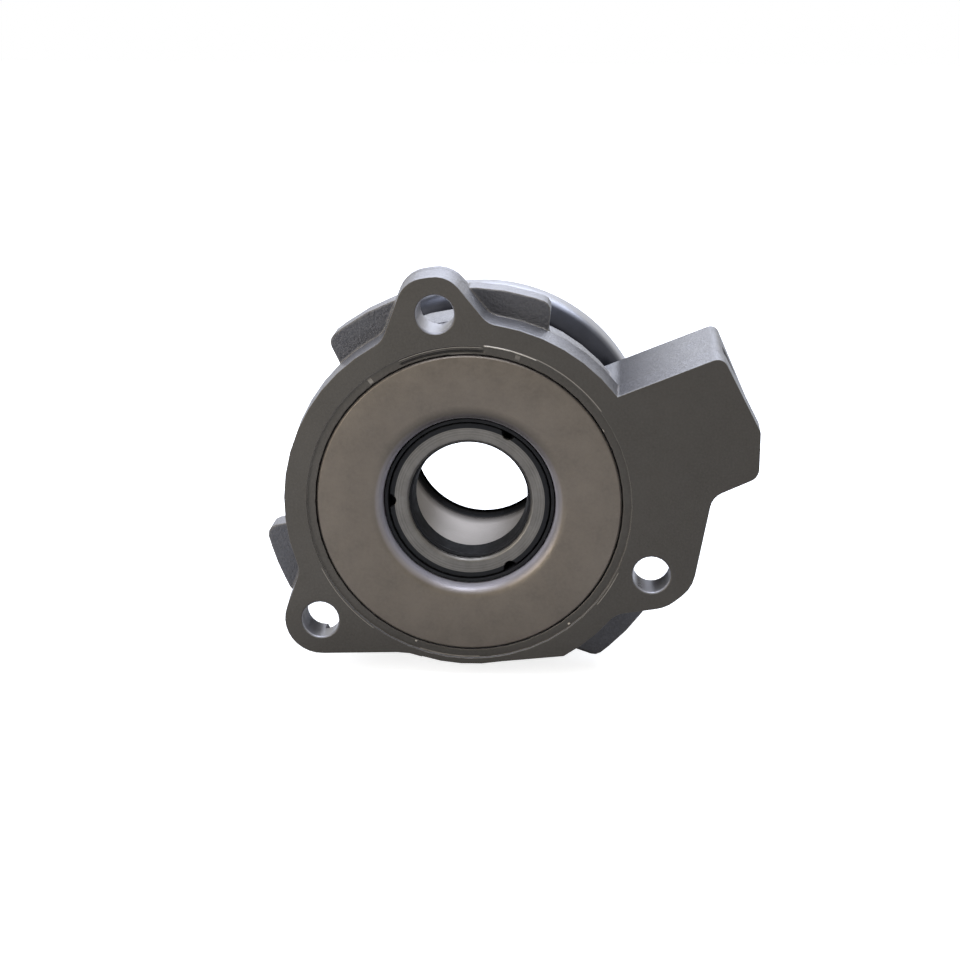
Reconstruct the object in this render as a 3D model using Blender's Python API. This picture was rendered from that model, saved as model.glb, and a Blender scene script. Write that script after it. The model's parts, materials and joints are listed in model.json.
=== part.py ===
"""Hydraulic clutch release bearing: a concentric slave cylinder with its bearing.

The frame is the part's own: metres, +Z up, the shaft axis along Y. The origin is on that
axis in the plane of the gearbox mounting face, and the bearing points along +Y.
"""
import bpy
import bmesh
from math import acos, atan2, ceil, cos, hypot, pi, radians, sin, sqrt, tau
from mathutils import Matrix, Vector

MM = 0.001

# Clearances
TOUCH_GAP = 0.30 * MM
STOP_GAP = 0.50 * MM

# Smoothness of round pieces, in steps for a full turn
FINE_STEPS = 48
ROUND_STEPS = 36
SMALL_STEPS = 28
BALL_STEPS = (8, 6)

# Guide sleeve: the disc, the seal seat and the guide tube are one drawn piece
SEAT_RADIUS = 16.25 * MM
SEAT_END = 10.7 * MM
SEAT_STEP = 1.05 * MM
SLEEVE_WALL = 1.2 * MM
MOUTH_RADIUS = 2.4 * MM
DISC_SINK = 0.2 * MM
DISC_THICKNESS = 1.6 * MM
DISC_SIDE_GAP = 0.35 * MM
DISC_EDGE = 0.3 * MM
DISC_OVERHANG = 3.25 * MM
TUBE_END = 44.2 * MM
TUBE_LIP_INSET = 1.0 * MM
TUBE_LIP_LENGTH = 2.2 * MM

# Static seal between sleeve and housing
O_RING_STEP = 3.3 * MM
O_RING_SECTION = 0.8 * MM

# Shaft seal pressed into the sleeve; the lips are given by their place and their depth inwards
SEAL_FRONT = 3.0 * MM
SEAL_BACK = 10.4 * MM
SEAL_JACKET = 0.6 * MM
SEAL_LINER = 0.6 * MM
SEAL_PLATE = 1.0 * MM
SEAL_PLATE_REACH = 4.75 * MM
SEAL_PLATE_CHAMFER = 0.5 * MM
DUST_LIP = (4.7 * MM, 5.25 * MM)
MAIN_LIP = (8.8 * MM, 5.65 * MM)
SEAL_NOTCH_RADIUS = 1.25 * MM
SEAL_NOTCH_DEPTH = 3.5 * MM
SEAL_NOTCH_ANGLES = (61.0, 181.0, 301.0)
GARTER_SECTION = 0.45 * MM

# Mounting flange and its three ears
STAKE_LAND_WIDTH = 1.6 * MM
STAKE_LAND_SINK = 0.55 * MM
RIM_LAND = 4.2 * MM
RIM_DEPTH = 7.1 * MM
FLANGE_DRAFT = 0.45 * MM
EAR_ANGLES = (99.5, 219.5, 339.5)
EAR_STEP = 2.0 * MM
EAR_ROUND = 6.85 * MM
EAR_FLANK_ANGLE = 30.0
EAR_ROOT_FILLET = 4.0 * MM
EAR_HOLE_RADIUS = 3.5 * MM
EAR_HOLE_CHAMFER = 0.3 * MM
TOP_EAR_DEPTH = 8.4 * MM
TOP_EAR_CORNER = 5.4 * MM
TOP_EAR_SHIFTS = (0.3 * MM, 1.4 * MM)
SPOT_FACE_RADIUS = 6.6 * MM
LEFT_EAR_RELIEF = 2.6 * MM

# The two straight cuts along the flange's lower side: distance inside the rim, and slope
LEFT_CUT = (5.85 * MM, 3.5)
RIGHT_CUT = (3.0 * MM, 6.7)
LOWER_STEP = 3.1 * MM

# Cast body behind the flange
BODY_STEP = 1.1 * MM
BODY_FOOT_STEP = 0.2 * MM
BODY_FOOT = 12.0 * MM
BODY_DEPTH = 28.7 * MM
BODY_TAPER_START = 20.5 * MM
BODY_TAPER = 1.9 * MM
BODY_EDGE = 1.2 * MM
PARTING_STEP = 0.2 * MM

# Skirt lugs: for each end the angle at its root, and the way that its side faces outwards
LUG_HEIGHT = 6.4 * MM
LUG_BACK = 12.0 * MM
LUG_CORNER = 2.0 * MM
LUG_ROOT_FILLET = 3.0 * MM
LUG_ENDS = (((64.8, 84.0), (135.2, 116.0)),
            ((189.9, 191.0), (211.5, 211.5)),
            ((299.2, 341.0), (331.0, 331.0)))

# Hose port block: the flange's end line, and behind it the end face square to the port
END_ANGLE = 27.65
END_REACH = 19.8 * MM
END_DRAFT = 0.35 * MM
PORT_ANGLE = 24.0
PORT_REACH = 19.0 * MM
BLOCK_TOP_ANGLE = 22.5
BLOCK_TOP_HEIGHT = 9.2 * MM
BLOCK_BOTTOM_ANGLE = 25.0
BLOCK_SIDE_REACH = 18.95 * MM
BLOCK_FOOT_HEIGHT = 6.5 * MM
BLOCK_TOP_ROUND = 2.0 * MM
BLOCK_REAR_ROUND = 1.3 * MM
BLOCK_LOW_ROUND = 1.0 * MM
BLOCK_FOOT_ROUND = 2.5 * MM
BLOCK_HEEL_FILLET = 3.6 * MM
BLOCK_HEEL_REACH = 10.1 * MM
BLOCK_DEPTH = 29.6 * MM
BLOCK_STEP = 0.08 * MM
BLOCK_SIDE_STEP = 1.1 * MM
BLOCK_BACK_EDGE = 1.5 * MM
EAR_SIDE_ANGLE = 80.0
EAR_SIDE_ROUND = 7.0 * MM
PORT_BORE_RADIUS = 4.55 * MM
PORT_BORE_DEPTH = 13.0 * MM
PORT_MOUTH_CHAMFER = 0.8 * MM
PORT_FACE_RADIUS = 6.6 * MM
PORT_FACE_SINK = 0.35 * MM
FLUID_HOLE_RADIUS = 1.4 * MM
FLUID_HOLE_DEPTH = 6.0 * MM

# Annular cylinder, piston and the bearing's travel
PISTON_SPACE = 5.6 * MM
CYLINDER_WALL = 3.4 * MM
TRAVEL = 8.0 * MM
PISTON_SEAL_FRONT = 20.0 * MM
PISTON_SEAL_WIDTH = 3.2 * MM
PISTON_HOOK = 1.0 * MM
GUIDE_RING_WIDTH = 2.6 * MM
GUIDE_RING_SECTION = 0.9 * MM
WIPER_WIDTH = 1.6 * MM
WIPER_SECTION = 1.1 * MM
STOP_RING_WIDTH = 1.2 * MM
STOP_RING_REACH = 1.1 * MM
STOP_RING_GROOVE = 0.5 * MM
STOP_RING_OPENING = 24.0

# Preload spring in its pocket round the cylinder
WIRE_RADIUS = 1.1 * MM
SPRING_TURNS = 5.5
SPRING_STEPS = 16
POCKET_FLOOR = 14.0 * MM
POCKET_WIDTH = 3.8 * MM

# Release bearing, whose rings are sized from the circle of the balls' centres
INNER_CLEARANCE = 4.6 * MM
INNER_WALL = 5.5 * MM
BALL_RADIUS = 2.9 * MM
BALL_COUNT = 14
BALL_PLANE_SETBACK = 4.0 * MM
SHOULDER_STEPS = (1.2 * MM, 2.25 * MM)
NECK_STEP = 2.1 * MM
CUP_STEP = 7.45 * MM
CUP_WALL = 0.9 * MM
CUP_SHOULDER = 4.0 * MM
CUP_LIP = 1.5 * MM
CAGE_WEB = 0.6 * MM
CAGE_DEPTH = 5.2 * MM
CAGE_STEP = 0.9 * MM
BEARING_SEAL_WIDTH = 0.8 * MM
THRUST_STEP = 1.5 * MM
THRUST_THICKNESS = 2.6 * MM
THRUST_LAND = (0.7 * MM, 3.3 * MM)

# Places that follow from the sizes above
TUBE_RADIUS = SEAT_RADIUS - SEAT_STEP
TUBE_LIP_RADIUS = TUBE_RADIUS - TUBE_LIP_INSET
TUBE_OUTER = TUBE_RADIUS + SLEEVE_WALL
BORE_RADIUS = TUBE_OUTER + PISTON_SPACE
O_RING_RADIUS = BORE_RADIUS + O_RING_STEP
DISC_RADIUS = O_RING_RADIUS + DISC_OVERHANG
DISC_BACK = DISC_SINK + DISC_THICKNESS
SEAT_FLOOR = DISC_BACK + TOUCH_GAP
STAKE_RADIUS = DISC_RADIUS + DISC_SIDE_GAP + STAKE_LAND_WIDTH
RIM_RADIUS = STAKE_RADIUS + RIM_LAND
LOWER_RADIUS = RIM_RADIUS - LOWER_STEP
EAR_PITCH_RADIUS = RIM_RADIUS + EAR_STEP
BODY_RADIUS = RIM_RADIUS - BODY_STEP
BODY_FOOT_RADIUS = BODY_RADIUS - BODY_FOOT_STEP
LUG_RADIUS = BODY_RADIUS + LUG_HEIGHT
BLOCK_HEEL_X = RIM_RADIUS + BLOCK_HEEL_REACH
PISTON_BORE = TUBE_OUTER + TOUCH_GAP
PISTON_RADIUS = BORE_RADIUS - TOUCH_GAP
CYLINDER_OUTER = BORE_RADIUS + CYLINDER_WALL
POCKET_OUTER = CYLINDER_OUTER + POCKET_WIDTH
SPRING_RADIUS = CYLINDER_OUTER + POCKET_WIDTH / 2
INNER_BORE = TUBE_OUTER + INNER_CLEARANCE
PITCH_RADIUS = INNER_BORE + INNER_WALL
OUTER_HIGH_SHOULDER = PITCH_RADIUS + SHOULDER_STEPS[0]
OUTER_LOW_SHOULDER = PITCH_RADIUS + SHOULDER_STEPS[1]
INNER_HIGH_SHOULDER = PITCH_RADIUS - SHOULDER_STEPS[0]
INNER_LOW_SHOULDER = PITCH_RADIUS - SHOULDER_STEPS[1]
NECK_RADIUS = PITCH_RADIUS - NECK_STEP
CAGE_INNER = PITCH_RADIUS - CAGE_STEP
CUP_RADIUS = PITCH_RADIUS + CUP_STEP
THRUST_RADIUS = PITCH_RADIUS + THRUST_STEP
CUP_FRONT = BLOCK_DEPTH + STOP_GAP + TRAVEL
CUP_BACK = CUP_FRONT + CUP_WALL
CUP_BORE = PISTON_BORE + 2.6 * MM
PISTON_SHOULDER = CUP_FRONT - TOUCH_GAP
PISTON_END = CUP_BACK + TOUCH_GAP + 0.9 * MM
OUTER_FRONT = CUP_BACK + TOUCH_GAP
OUTER_RADIUS = CUP_RADIUS - CUP_WALL - TOUCH_GAP
BALL_PLANE = OUTER_FRONT + BALL_PLANE_SETBACK
OUTER_BACK = BALL_PLANE + BALL_RADIUS + TOUCH_GAP + BEARING_SEAL_WIDTH
GROOVE_RADIUS = BALL_RADIUS + TOUCH_GAP
CUP_END = OUTER_BACK + TOUCH_GAP + CUP_WALL
THRUST_BACK = CUP_END + 0.6 * MM
THRUST_FRONT = THRUST_BACK + THRUST_THICKNESS

COLLECTION = bpy.context.scene.collection


def clear_scene():
    for thing in list(bpy.data.objects):
        bpy.data.objects.remove(thing, do_unlink=True)


def material(name, colour, roughness, metallic):
    mat = bpy.data.materials.new(name)
    mat.use_nodes = True
    shader = mat.node_tree.nodes["Principled BSDF"]
    shader.inputs["Base Color"].default_value = (*colour, 1.0)
    shader.inputs["Roughness"].default_value = roughness
    shader.inputs["Metallic"].default_value = metallic
    return mat


def make_object(name, bm, mat=None, sharp=35.0):
    """Turns a bmesh into a named object, with its faces pointing out and smooth shading."""
    bmesh.ops.recalc_face_normals(bm, faces=bm.faces)
    mesh = bpy.data.meshes.new(name)
    bm.to_mesh(mesh)
    bm.free()
    mesh.shade_smooth()
    mesh.set_sharp_from_angle(angle=radians(sharp))
    thing = bpy.data.objects.new(name, mesh)
    COLLECTION.objects.link(thing)
    if mat:
        mesh.materials.append(mat)
    return thing


def polar(radius, degrees):
    return Vector((radius * cos(radians(degrees)), radius * sin(radians(degrees))))


def arc_points(centre, radius, start, end, step=7.5):
    """Points of an arc from one angle to another in degrees, both ends included."""
    count = max(2, ceil(abs(end - start) / step) + 1)
    span = (end - start) / (count - 1)
    return [Vector(centre) + polar(radius, start + span * i) for i in range(count)]


def turned_bmesh(profile, steps):
    """A closed (y, radius) profile turned once about the Y axis."""
    bm = bmesh.new()
    rings = []
    for i in range(steps):
        turn = tau * i / steps
        rings.append([bm.verts.new((r * cos(turn), y, r * sin(turn))) for y, r in profile])
    count = len(profile)
    for i in range(steps):
        here, there = rings[i], rings[(i + 1) % steps]
        for j in range(count):
            k = (j + 1) % count
            bm.faces.new((here[j], here[k], there[k], there[j]))
    return bm


def turned(name, profile, steps, mat=None):
    return make_object(name, turned_bmesh(profile, steps), mat)


def plug_bmesh(profile, steps):
    """A solid of revolution about Y whose open (y, radius) profile is closed by end faces."""
    bm = bmesh.new()
    rings = []
    for y, r in profile:
        turns = [tau * i / steps for i in range(steps)]
        rings.append([bm.verts.new((r * cos(t), y, r * sin(t))) for t in turns])
    for here, there in zip(rings, rings[1:]):
        for i in range(steps):
            k = (i + 1) % steps
            bm.faces.new((here[i], here[k], there[k], there[i]))
    bm.faces.new(rings[0])
    bm.faces.new(rings[-1])
    return bm


def prism_bmesh(outline, front, back):
    """An (x, z) outline drawn out along Y."""
    bm = bmesh.new()
    near = [bm.verts.new((p[0], front, p[1])) for p in outline]
    far = [bm.verts.new((p[0], back, p[1])) for p in outline]
    count = len(outline)
    for i in range(count):
        k = (i + 1) % count
        bm.faces.new((near[i], near[k], far[k], far[i]))
    bm.faces.new(near)
    bm.faces.new(far)
    return bm


def offset_outline(outline, spread):
    """The same outline grown outwards, or shrunk where spread is negative."""
    count = len(outline)
    points = []
    for i, here in enumerate(outline):
        into = (Vector(here) - Vector(outline[i - 1])).normalized()
        out = (Vector(outline[(i + 1) % count]) - Vector(here)).normalized()
        mitre = Vector((into.y + out.y, -into.x - out.x))
        mitre *= 2 * spread / max(mitre.length_squared, 1.0)
        points.append(Vector(here) + mitre)
    return points


def skin_bmesh(sections):
    """A solid through sections of (y, outline) that all have as many points as the first."""
    bm = bmesh.new()
    rings = []
    for y, outline in sections:
        rings.append([bm.verts.new((p[0], y, p[1])) for p in outline])
    count = len(rings[0])
    for here, there in zip(rings, rings[1:]):
        for i in range(count):
            k = (i + 1) % count
            bm.faces.new((here[i], here[k], there[k], there[i]))
    bm.faces.new(rings[0])
    bm.faces.new(rings[-1])
    return bm


def loft_bmesh(outline, levels):
    """An outline drawn out along Y through levels of (y, spread), closed at both ends."""
    return skin_bmesh([(y, offset_outline(outline, spread)) for y, spread in levels])


def helper(name, bm):
    """A guide body for a Boolean, which isn't a piece of the part."""
    thing = make_object(name, bm)
    thing.hide_render = True
    thing.display_type = "WIRE"
    return thing


def combine(thing, operation, tool):
    step = thing.modifiers.new(tool.name, "BOOLEAN")
    step.operation = operation
    step.solver = "EXACT"
    step.object = tool


def add(thing, tool):
    combine(thing, "UNION", tool)


def cut(thing, tool):
    combine(thing, "DIFFERENCE", tool)


def settle(thing, sharp=35.0):
    """Turns the Boolean steps into plain faces, drops their guide bodies and marks edges."""
    tools = [step.object for step in thing.modifiers]
    view = bpy.context.evaluated_depsgraph_get()
    solid = bpy.data.meshes.new_from_object(thing.evaluated_get(view))
    thing.modifiers.clear()
    thing.data = solid
    solid.name = thing.name
    solid.shade_smooth()
    solid.set_sharp_from_angle(angle=radians(sharp))
    for tool in tools:
        bpy.data.objects.remove(tool, do_unlink=True)
    return thing


def rounded_corner(before, corner, after, radius, step=15.0):
    """The arc that rounds a corner between two straight lines, either way it bends."""
    into = (Vector(corner) - Vector(before)).normalized()
    out = (Vector(after) - Vector(corner)).normalized()
    turn = atan2(into.cross(out), into.dot(out))
    side = 1.0 if turn > 0 else -1.0
    reach = radius * abs(sin(turn / 2) / cos(turn / 2))
    first = Vector(corner) - into * reach
    centre = first + side * radius * Vector((-into.y, into.x))
    spoke = first - centre
    count = max(2, ceil(abs(turn) / radians(step)) + 1)
    points = []
    for i in range(count):
        points.append(centre + Matrix.Rotation(turn * i / (count - 1), 2) @ spoke)
    return points


def line_meeting(point_a, direction_a, point_b, direction_b):
    a, da, b, db = (Vector(v) for v in (point_a, direction_a, point_b, direction_b))
    share = (b - a).cross(db) / da.cross(db)
    return a + da * share


def flank_fillet(start, direction, side, fillet, foot):
    """The fillet between a flank and a round foot, from the flank's end to the foot's start.

    side is +1 where the outside of the form lies to the left of the flank's direction."""
    outward = side * Vector((-direction.y, direction.x))
    base = start + outward * fillet
    reach = foot + fillet
    along = base.dot(direction)
    share = -along - sqrt(along * along - base.dot(base) + reach * reach)
    centre = base + direction * share
    on_flank = centre - outward * fillet
    on_foot = centre * (foot / reach)
    first = atan2(on_flank.y - centre.y, on_flank.x - centre.x)
    last = atan2(on_foot.y - centre.y, on_foot.x - centre.x)
    turn = (last - first + pi) % tau - pi
    count = 5
    points = []
    for i in range(count):
        angle = first + turn * i / (count - 1)
        points.append(centre + fillet * Vector((cos(angle), sin(angle))))
    return points


def flank(ear_angle, side, centre=None, size=EAR_ROUND):
    """Where a flank leaves the ear's round end, and its direction towards the rim."""
    direction = polar(1.0, ear_angle + 180 + side * EAR_FLANK_ANGLE)
    outward = side * Vector((-direction.y, direction.x))
    if centre is None:
        centre = polar(EAR_PITCH_RADIUS, ear_angle)
    return centre + outward * size, direction


def ear_fillet(start, direction, side):
    return flank_fillet(start, direction, side, EAR_ROOT_FILLET, RIM_RADIUS)


def top_ear_corners():
    """Centres of the two corners that the broader top ear is rounded with."""
    angle = EAR_ANGLES[0]
    middle = polar(EAR_PITCH_RADIUS + EAR_ROUND - TOP_EAR_CORNER, angle)
    across = polar(1.0, angle + 90)
    right, left = TOP_EAR_SHIFTS
    return middle - across * right, middle + across * left


def top_ear_tip(spread=0.0):
    """The outline round the top ear's end, from its right flank to its left one."""
    angle = EAR_ANGLES[0]
    half = 90 - EAR_FLANK_ANGLE
    right, left = top_ear_corners()
    size = TOP_EAR_CORNER + spread
    points = arc_points(right, size, angle - half, angle, 12.0)
    return points + arc_points(left, size, angle, angle + half, 12.0)


def angle_of(point):
    return atan2(point[1], point[0]) * 180 / pi % 360


def block_top():
    """A point of the block's straight top side, and the way that the side runs."""
    return polar(BLOCK_TOP_HEIGHT, BLOCK_TOP_ANGLE + 90), polar(1.0, BLOCK_TOP_ANGLE)


def end_line(step=0.0):
    """Corners of the flange's end line and of its foot, and where the foot meets the side."""
    middle = polar(RIM_RADIUS + END_REACH - step, END_ANGLE)
    across = polar(1.0, END_ANGLE + 90)
    top = line_meeting(*block_top(), middle, across)
    side_x = RIM_RADIUS + BLOCK_SIDE_REACH - step
    low = line_meeting((side_x, 0.0), (0.0, 1.0), middle, across)
    foot = Vector((side_x, BLOCK_FOOT_HEIGHT))
    side = polar(1.0, EAR_SIDE_ANGLE)
    heel = line_meeting(foot, polar(1.0, BLOCK_BOTTOM_ANGLE), (BLOCK_HEEL_X, 0.0), side)
    return top, low, foot, heel


def port_end():
    """Top and low corners of the block's end face behind the flange, square to the port."""
    middle = polar(RIM_RADIUS + PORT_REACH, PORT_ANGLE)
    across = polar(1.0, PORT_ANGLE + 90)
    side_x = RIM_RADIUS + BLOCK_SIDE_REACH - BLOCK_SIDE_STEP
    high = line_meeting(*block_top(), middle, across)
    return high, line_meeting((side_x, 0.0), (0.0, 1.0), middle, across)


def flange_outline(end_step=0.0):
    """The mounting face: rim, three ears, port block, and the flat along its lower side."""
    top, low, foot, heel = end_line(end_step)
    slope = polar(1.0, BLOCK_TOP_ANGLE)
    along = top.dot(slope)
    root = top - slope * (along - sqrt(along * along - top.dot(top) + RIM_RADIUS ** 2))
    top_angle, left_angle, right_angle = EAR_ANGLES
    ear_step = 12.0
    points = []

    # Rim from the block to the top ear, then round that ear
    right_corner, left_corner = top_ear_corners()
    right_start, right_way = flank(top_angle, 1, right_corner, TOP_EAR_CORNER)
    rise = ear_fillet(right_start, right_way, 1)[::-1]
    points += arc_points((0, 0), RIM_RADIUS, angle_of(root), angle_of(rise[0]))[:-1]
    points += rise
    half = 90 - EAR_FLANK_ANGLE
    points += top_ear_tip()
    left_start, left_way = flank(top_angle, -1, left_corner, TOP_EAR_CORNER)
    fall = ear_fillet(left_start, left_way, -1)
    points += fall[:-1]

    # Rim down to the left ear, round it and onto the left cut
    start, way = flank(left_angle, 1)
    rise = ear_fillet(start, way, 1)[::-1]
    points += arc_points((0, 0), RIM_RADIUS, angle_of(fall[-1]), angle_of(rise[0]))[:-1]
    points += rise
    ear = polar(EAR_PITCH_RADIUS, left_angle)
    left_drop, left_slope = RIM_RADIUS - LEFT_CUT[0], LEFT_CUT[1]
    ear_end = 270 + left_slope
    points += arc_points(ear, EAR_ROUND, left_angle - half, ear_end - 12, ear_step)
    lift = (ear - Vector((0.0, -left_drop))).dot(polar(1.0, left_slope + 90))
    points.append(ear + polar(min(EAR_ROUND, lift), ear_end))

    # The round body shows between the two cuts
    right_drop, right_slope = RIM_RADIUS - RIGHT_CUT[0], RIGHT_CUT[1]
    first = cut_meeting(left_drop, left_slope, LOWER_RADIUS, -1)
    last = cut_meeting(right_drop, right_slope, LOWER_RADIUS, 1)
    before = points[-1]
    after = first + polar(LOWER_RADIUS, angle_of(first) + 90)
    points += rounded_corner(before, first, after, 12 * MM)
    points += arc_points((0, 0), LOWER_RADIUS, angle_of(first) + 4, angle_of(last))
    corner = cut_meeting(right_drop, right_slope, RIM_RADIUS, 1)

    # Rim up to the right ear, round it, and up its side into the block
    start, way = flank(right_angle, 1)
    rise = ear_fillet(start, way, 1)[::-1]
    points += arc_points((0, 0), RIM_RADIUS, angle_of(corner), angle_of(rise[0]))[:-1]
    points += rise
    ear = polar(EAR_PITCH_RADIUS, right_angle)
    leave = EAR_SIDE_ANGLE + 230
    points += arc_points(ear, EAR_ROUND, right_angle - half, leave, ear_step)
    side = polar(1.0, EAR_SIDE_ANGLE)
    turn_in = line_meeting(points[-1], polar(1.0, leave + 90), (BLOCK_HEEL_X, 0.0), side)
    points += rounded_corner(points[-1], turn_in, heel, EAR_SIDE_ROUND)
    points += rounded_corner(turn_in, heel, foot, BLOCK_HEEL_FILLET)
    points += rounded_corner(heel, foot, low, BLOCK_FOOT_ROUND)
    points += rounded_corner(foot, low, top, BLOCK_LOW_ROUND)
    points += rounded_corner(low, top, root, BLOCK_TOP_ROUND)
    return points


def cut_meeting(drop, slope, radius, side):
    """Where a straight cut below the axis meets a circle, left (-1) or right (1) of it."""
    way = polar(1.0, slope)
    base = Vector((0.0, -drop))
    along = base.dot(way)
    return base + way * (-along + side * sqrt(along * along - base.dot(base) + radius ** 2))


def lug_side(root_angle, way_angle, side):
    """One end of a lug, from its foot outwards: root fillet, then the rounded outer corner.

    side is +1 at the end where the lug starts, counting angles upwards, and -1 at the other."""
    foot = BODY_FOOT_RADIUS - PARTING_STEP / 2
    start = polar(foot, root_angle)
    way = polar(1.0, way_angle)
    along = start.dot(way)
    share = -along + sqrt(along * along - start.dot(start) + LUG_RADIUS ** 2)
    corner = start + way * share
    root = flank_fillet(corner, -way, side, LUG_ROOT_FILLET, foot)[::-1]
    ahead = corner + side * polar(LUG_CORNER, angle_of(corner) + 90)
    tip = rounded_corner(start, corner, ahead, LUG_CORNER, 30.0)
    return root + tip


def lug_outline(first, last):
    """A sector of the skirt behind the flange, with root fillets and rounded outer corners."""
    inner = BODY_FOOT_RADIUS - 4 * PARTING_STEP
    rising = lug_side(*first, 1)
    falling = lug_side(*last, -1)
    points = arc_points((0, 0), inner, angle_of(falling[0]), angle_of(rising[0]), 12.0)
    points += rising
    step = LUG_CORNER / LUG_RADIUS * 60
    start, end = angle_of(rising[-1]) + step, angle_of(falling[-1]) - step
    points += arc_points((0, 0), LUG_RADIUS, start, end, 8.0)
    return points + falling[::-1]


def top_ear_outline(spread, inner):
    """The top ear's round end with straight flanks, down to a radius inside the body."""
    angle = EAR_ANGLES[0]
    tip = top_ear_tip(spread)
    length = EAR_PITCH_RADIUS - inner
    first = tip[0] + polar(length, angle + 180 + EAR_FLANK_ANGLE)
    last = tip[-1] + polar(length, angle + 180 - EAR_FLANK_ANGLE)
    return [first] + tip + [last]


def rear_block_outline():
    """The block behind the parting line, run into the round body."""
    top, low, foot, heel = end_line()
    high, bend = port_end()
    slope = polar(1.0, BLOCK_TOP_ANGLE)
    inner_top = high - slope * (RIM_RADIUS + PORT_REACH - BODY_RADIUS * 0.75)
    inner_low = Vector((BODY_RADIUS * 0.86, heel.y - 4 * MM))
    step = Vector((-BLOCK_SIDE_STEP, 0.0))
    points = [inner_low]
    points += rounded_corner(inner_low, heel, foot + step, BLOCK_HEEL_FILLET)
    points += rounded_corner(heel, foot + step, bend, BLOCK_FOOT_ROUND)
    points += rounded_corner(foot + step, bend, high, BLOCK_LOW_ROUND)
    points += rounded_corner(bend, high, inner_top, BLOCK_REAR_ROUND)
    points.append(inner_top)
    return points


def port_frame():
    """The port's place: its mouth in the end face, and the way that its axis points."""
    high, bend = port_end()
    mouth = (high + bend) / 2
    axis = polar(1.0, PORT_ANGLE)
    way = Vector((axis.x, 0.0, axis.y))
    return Vector((mouth.x, BLOCK_DEPTH / 2, mouth.y)), way


def drilled(name, start, way, profile, steps):
    """A round cutter along any line: profile is (distance along it, radius)."""
    bm = plug_bmesh(profile, steps)
    spin = Vector((0.0, 1.0, 0.0)).rotation_difference(way).to_matrix().to_4x4()
    bm.transform(Matrix.Translation(start) @ spin)
    return helper(name, bm)


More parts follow.
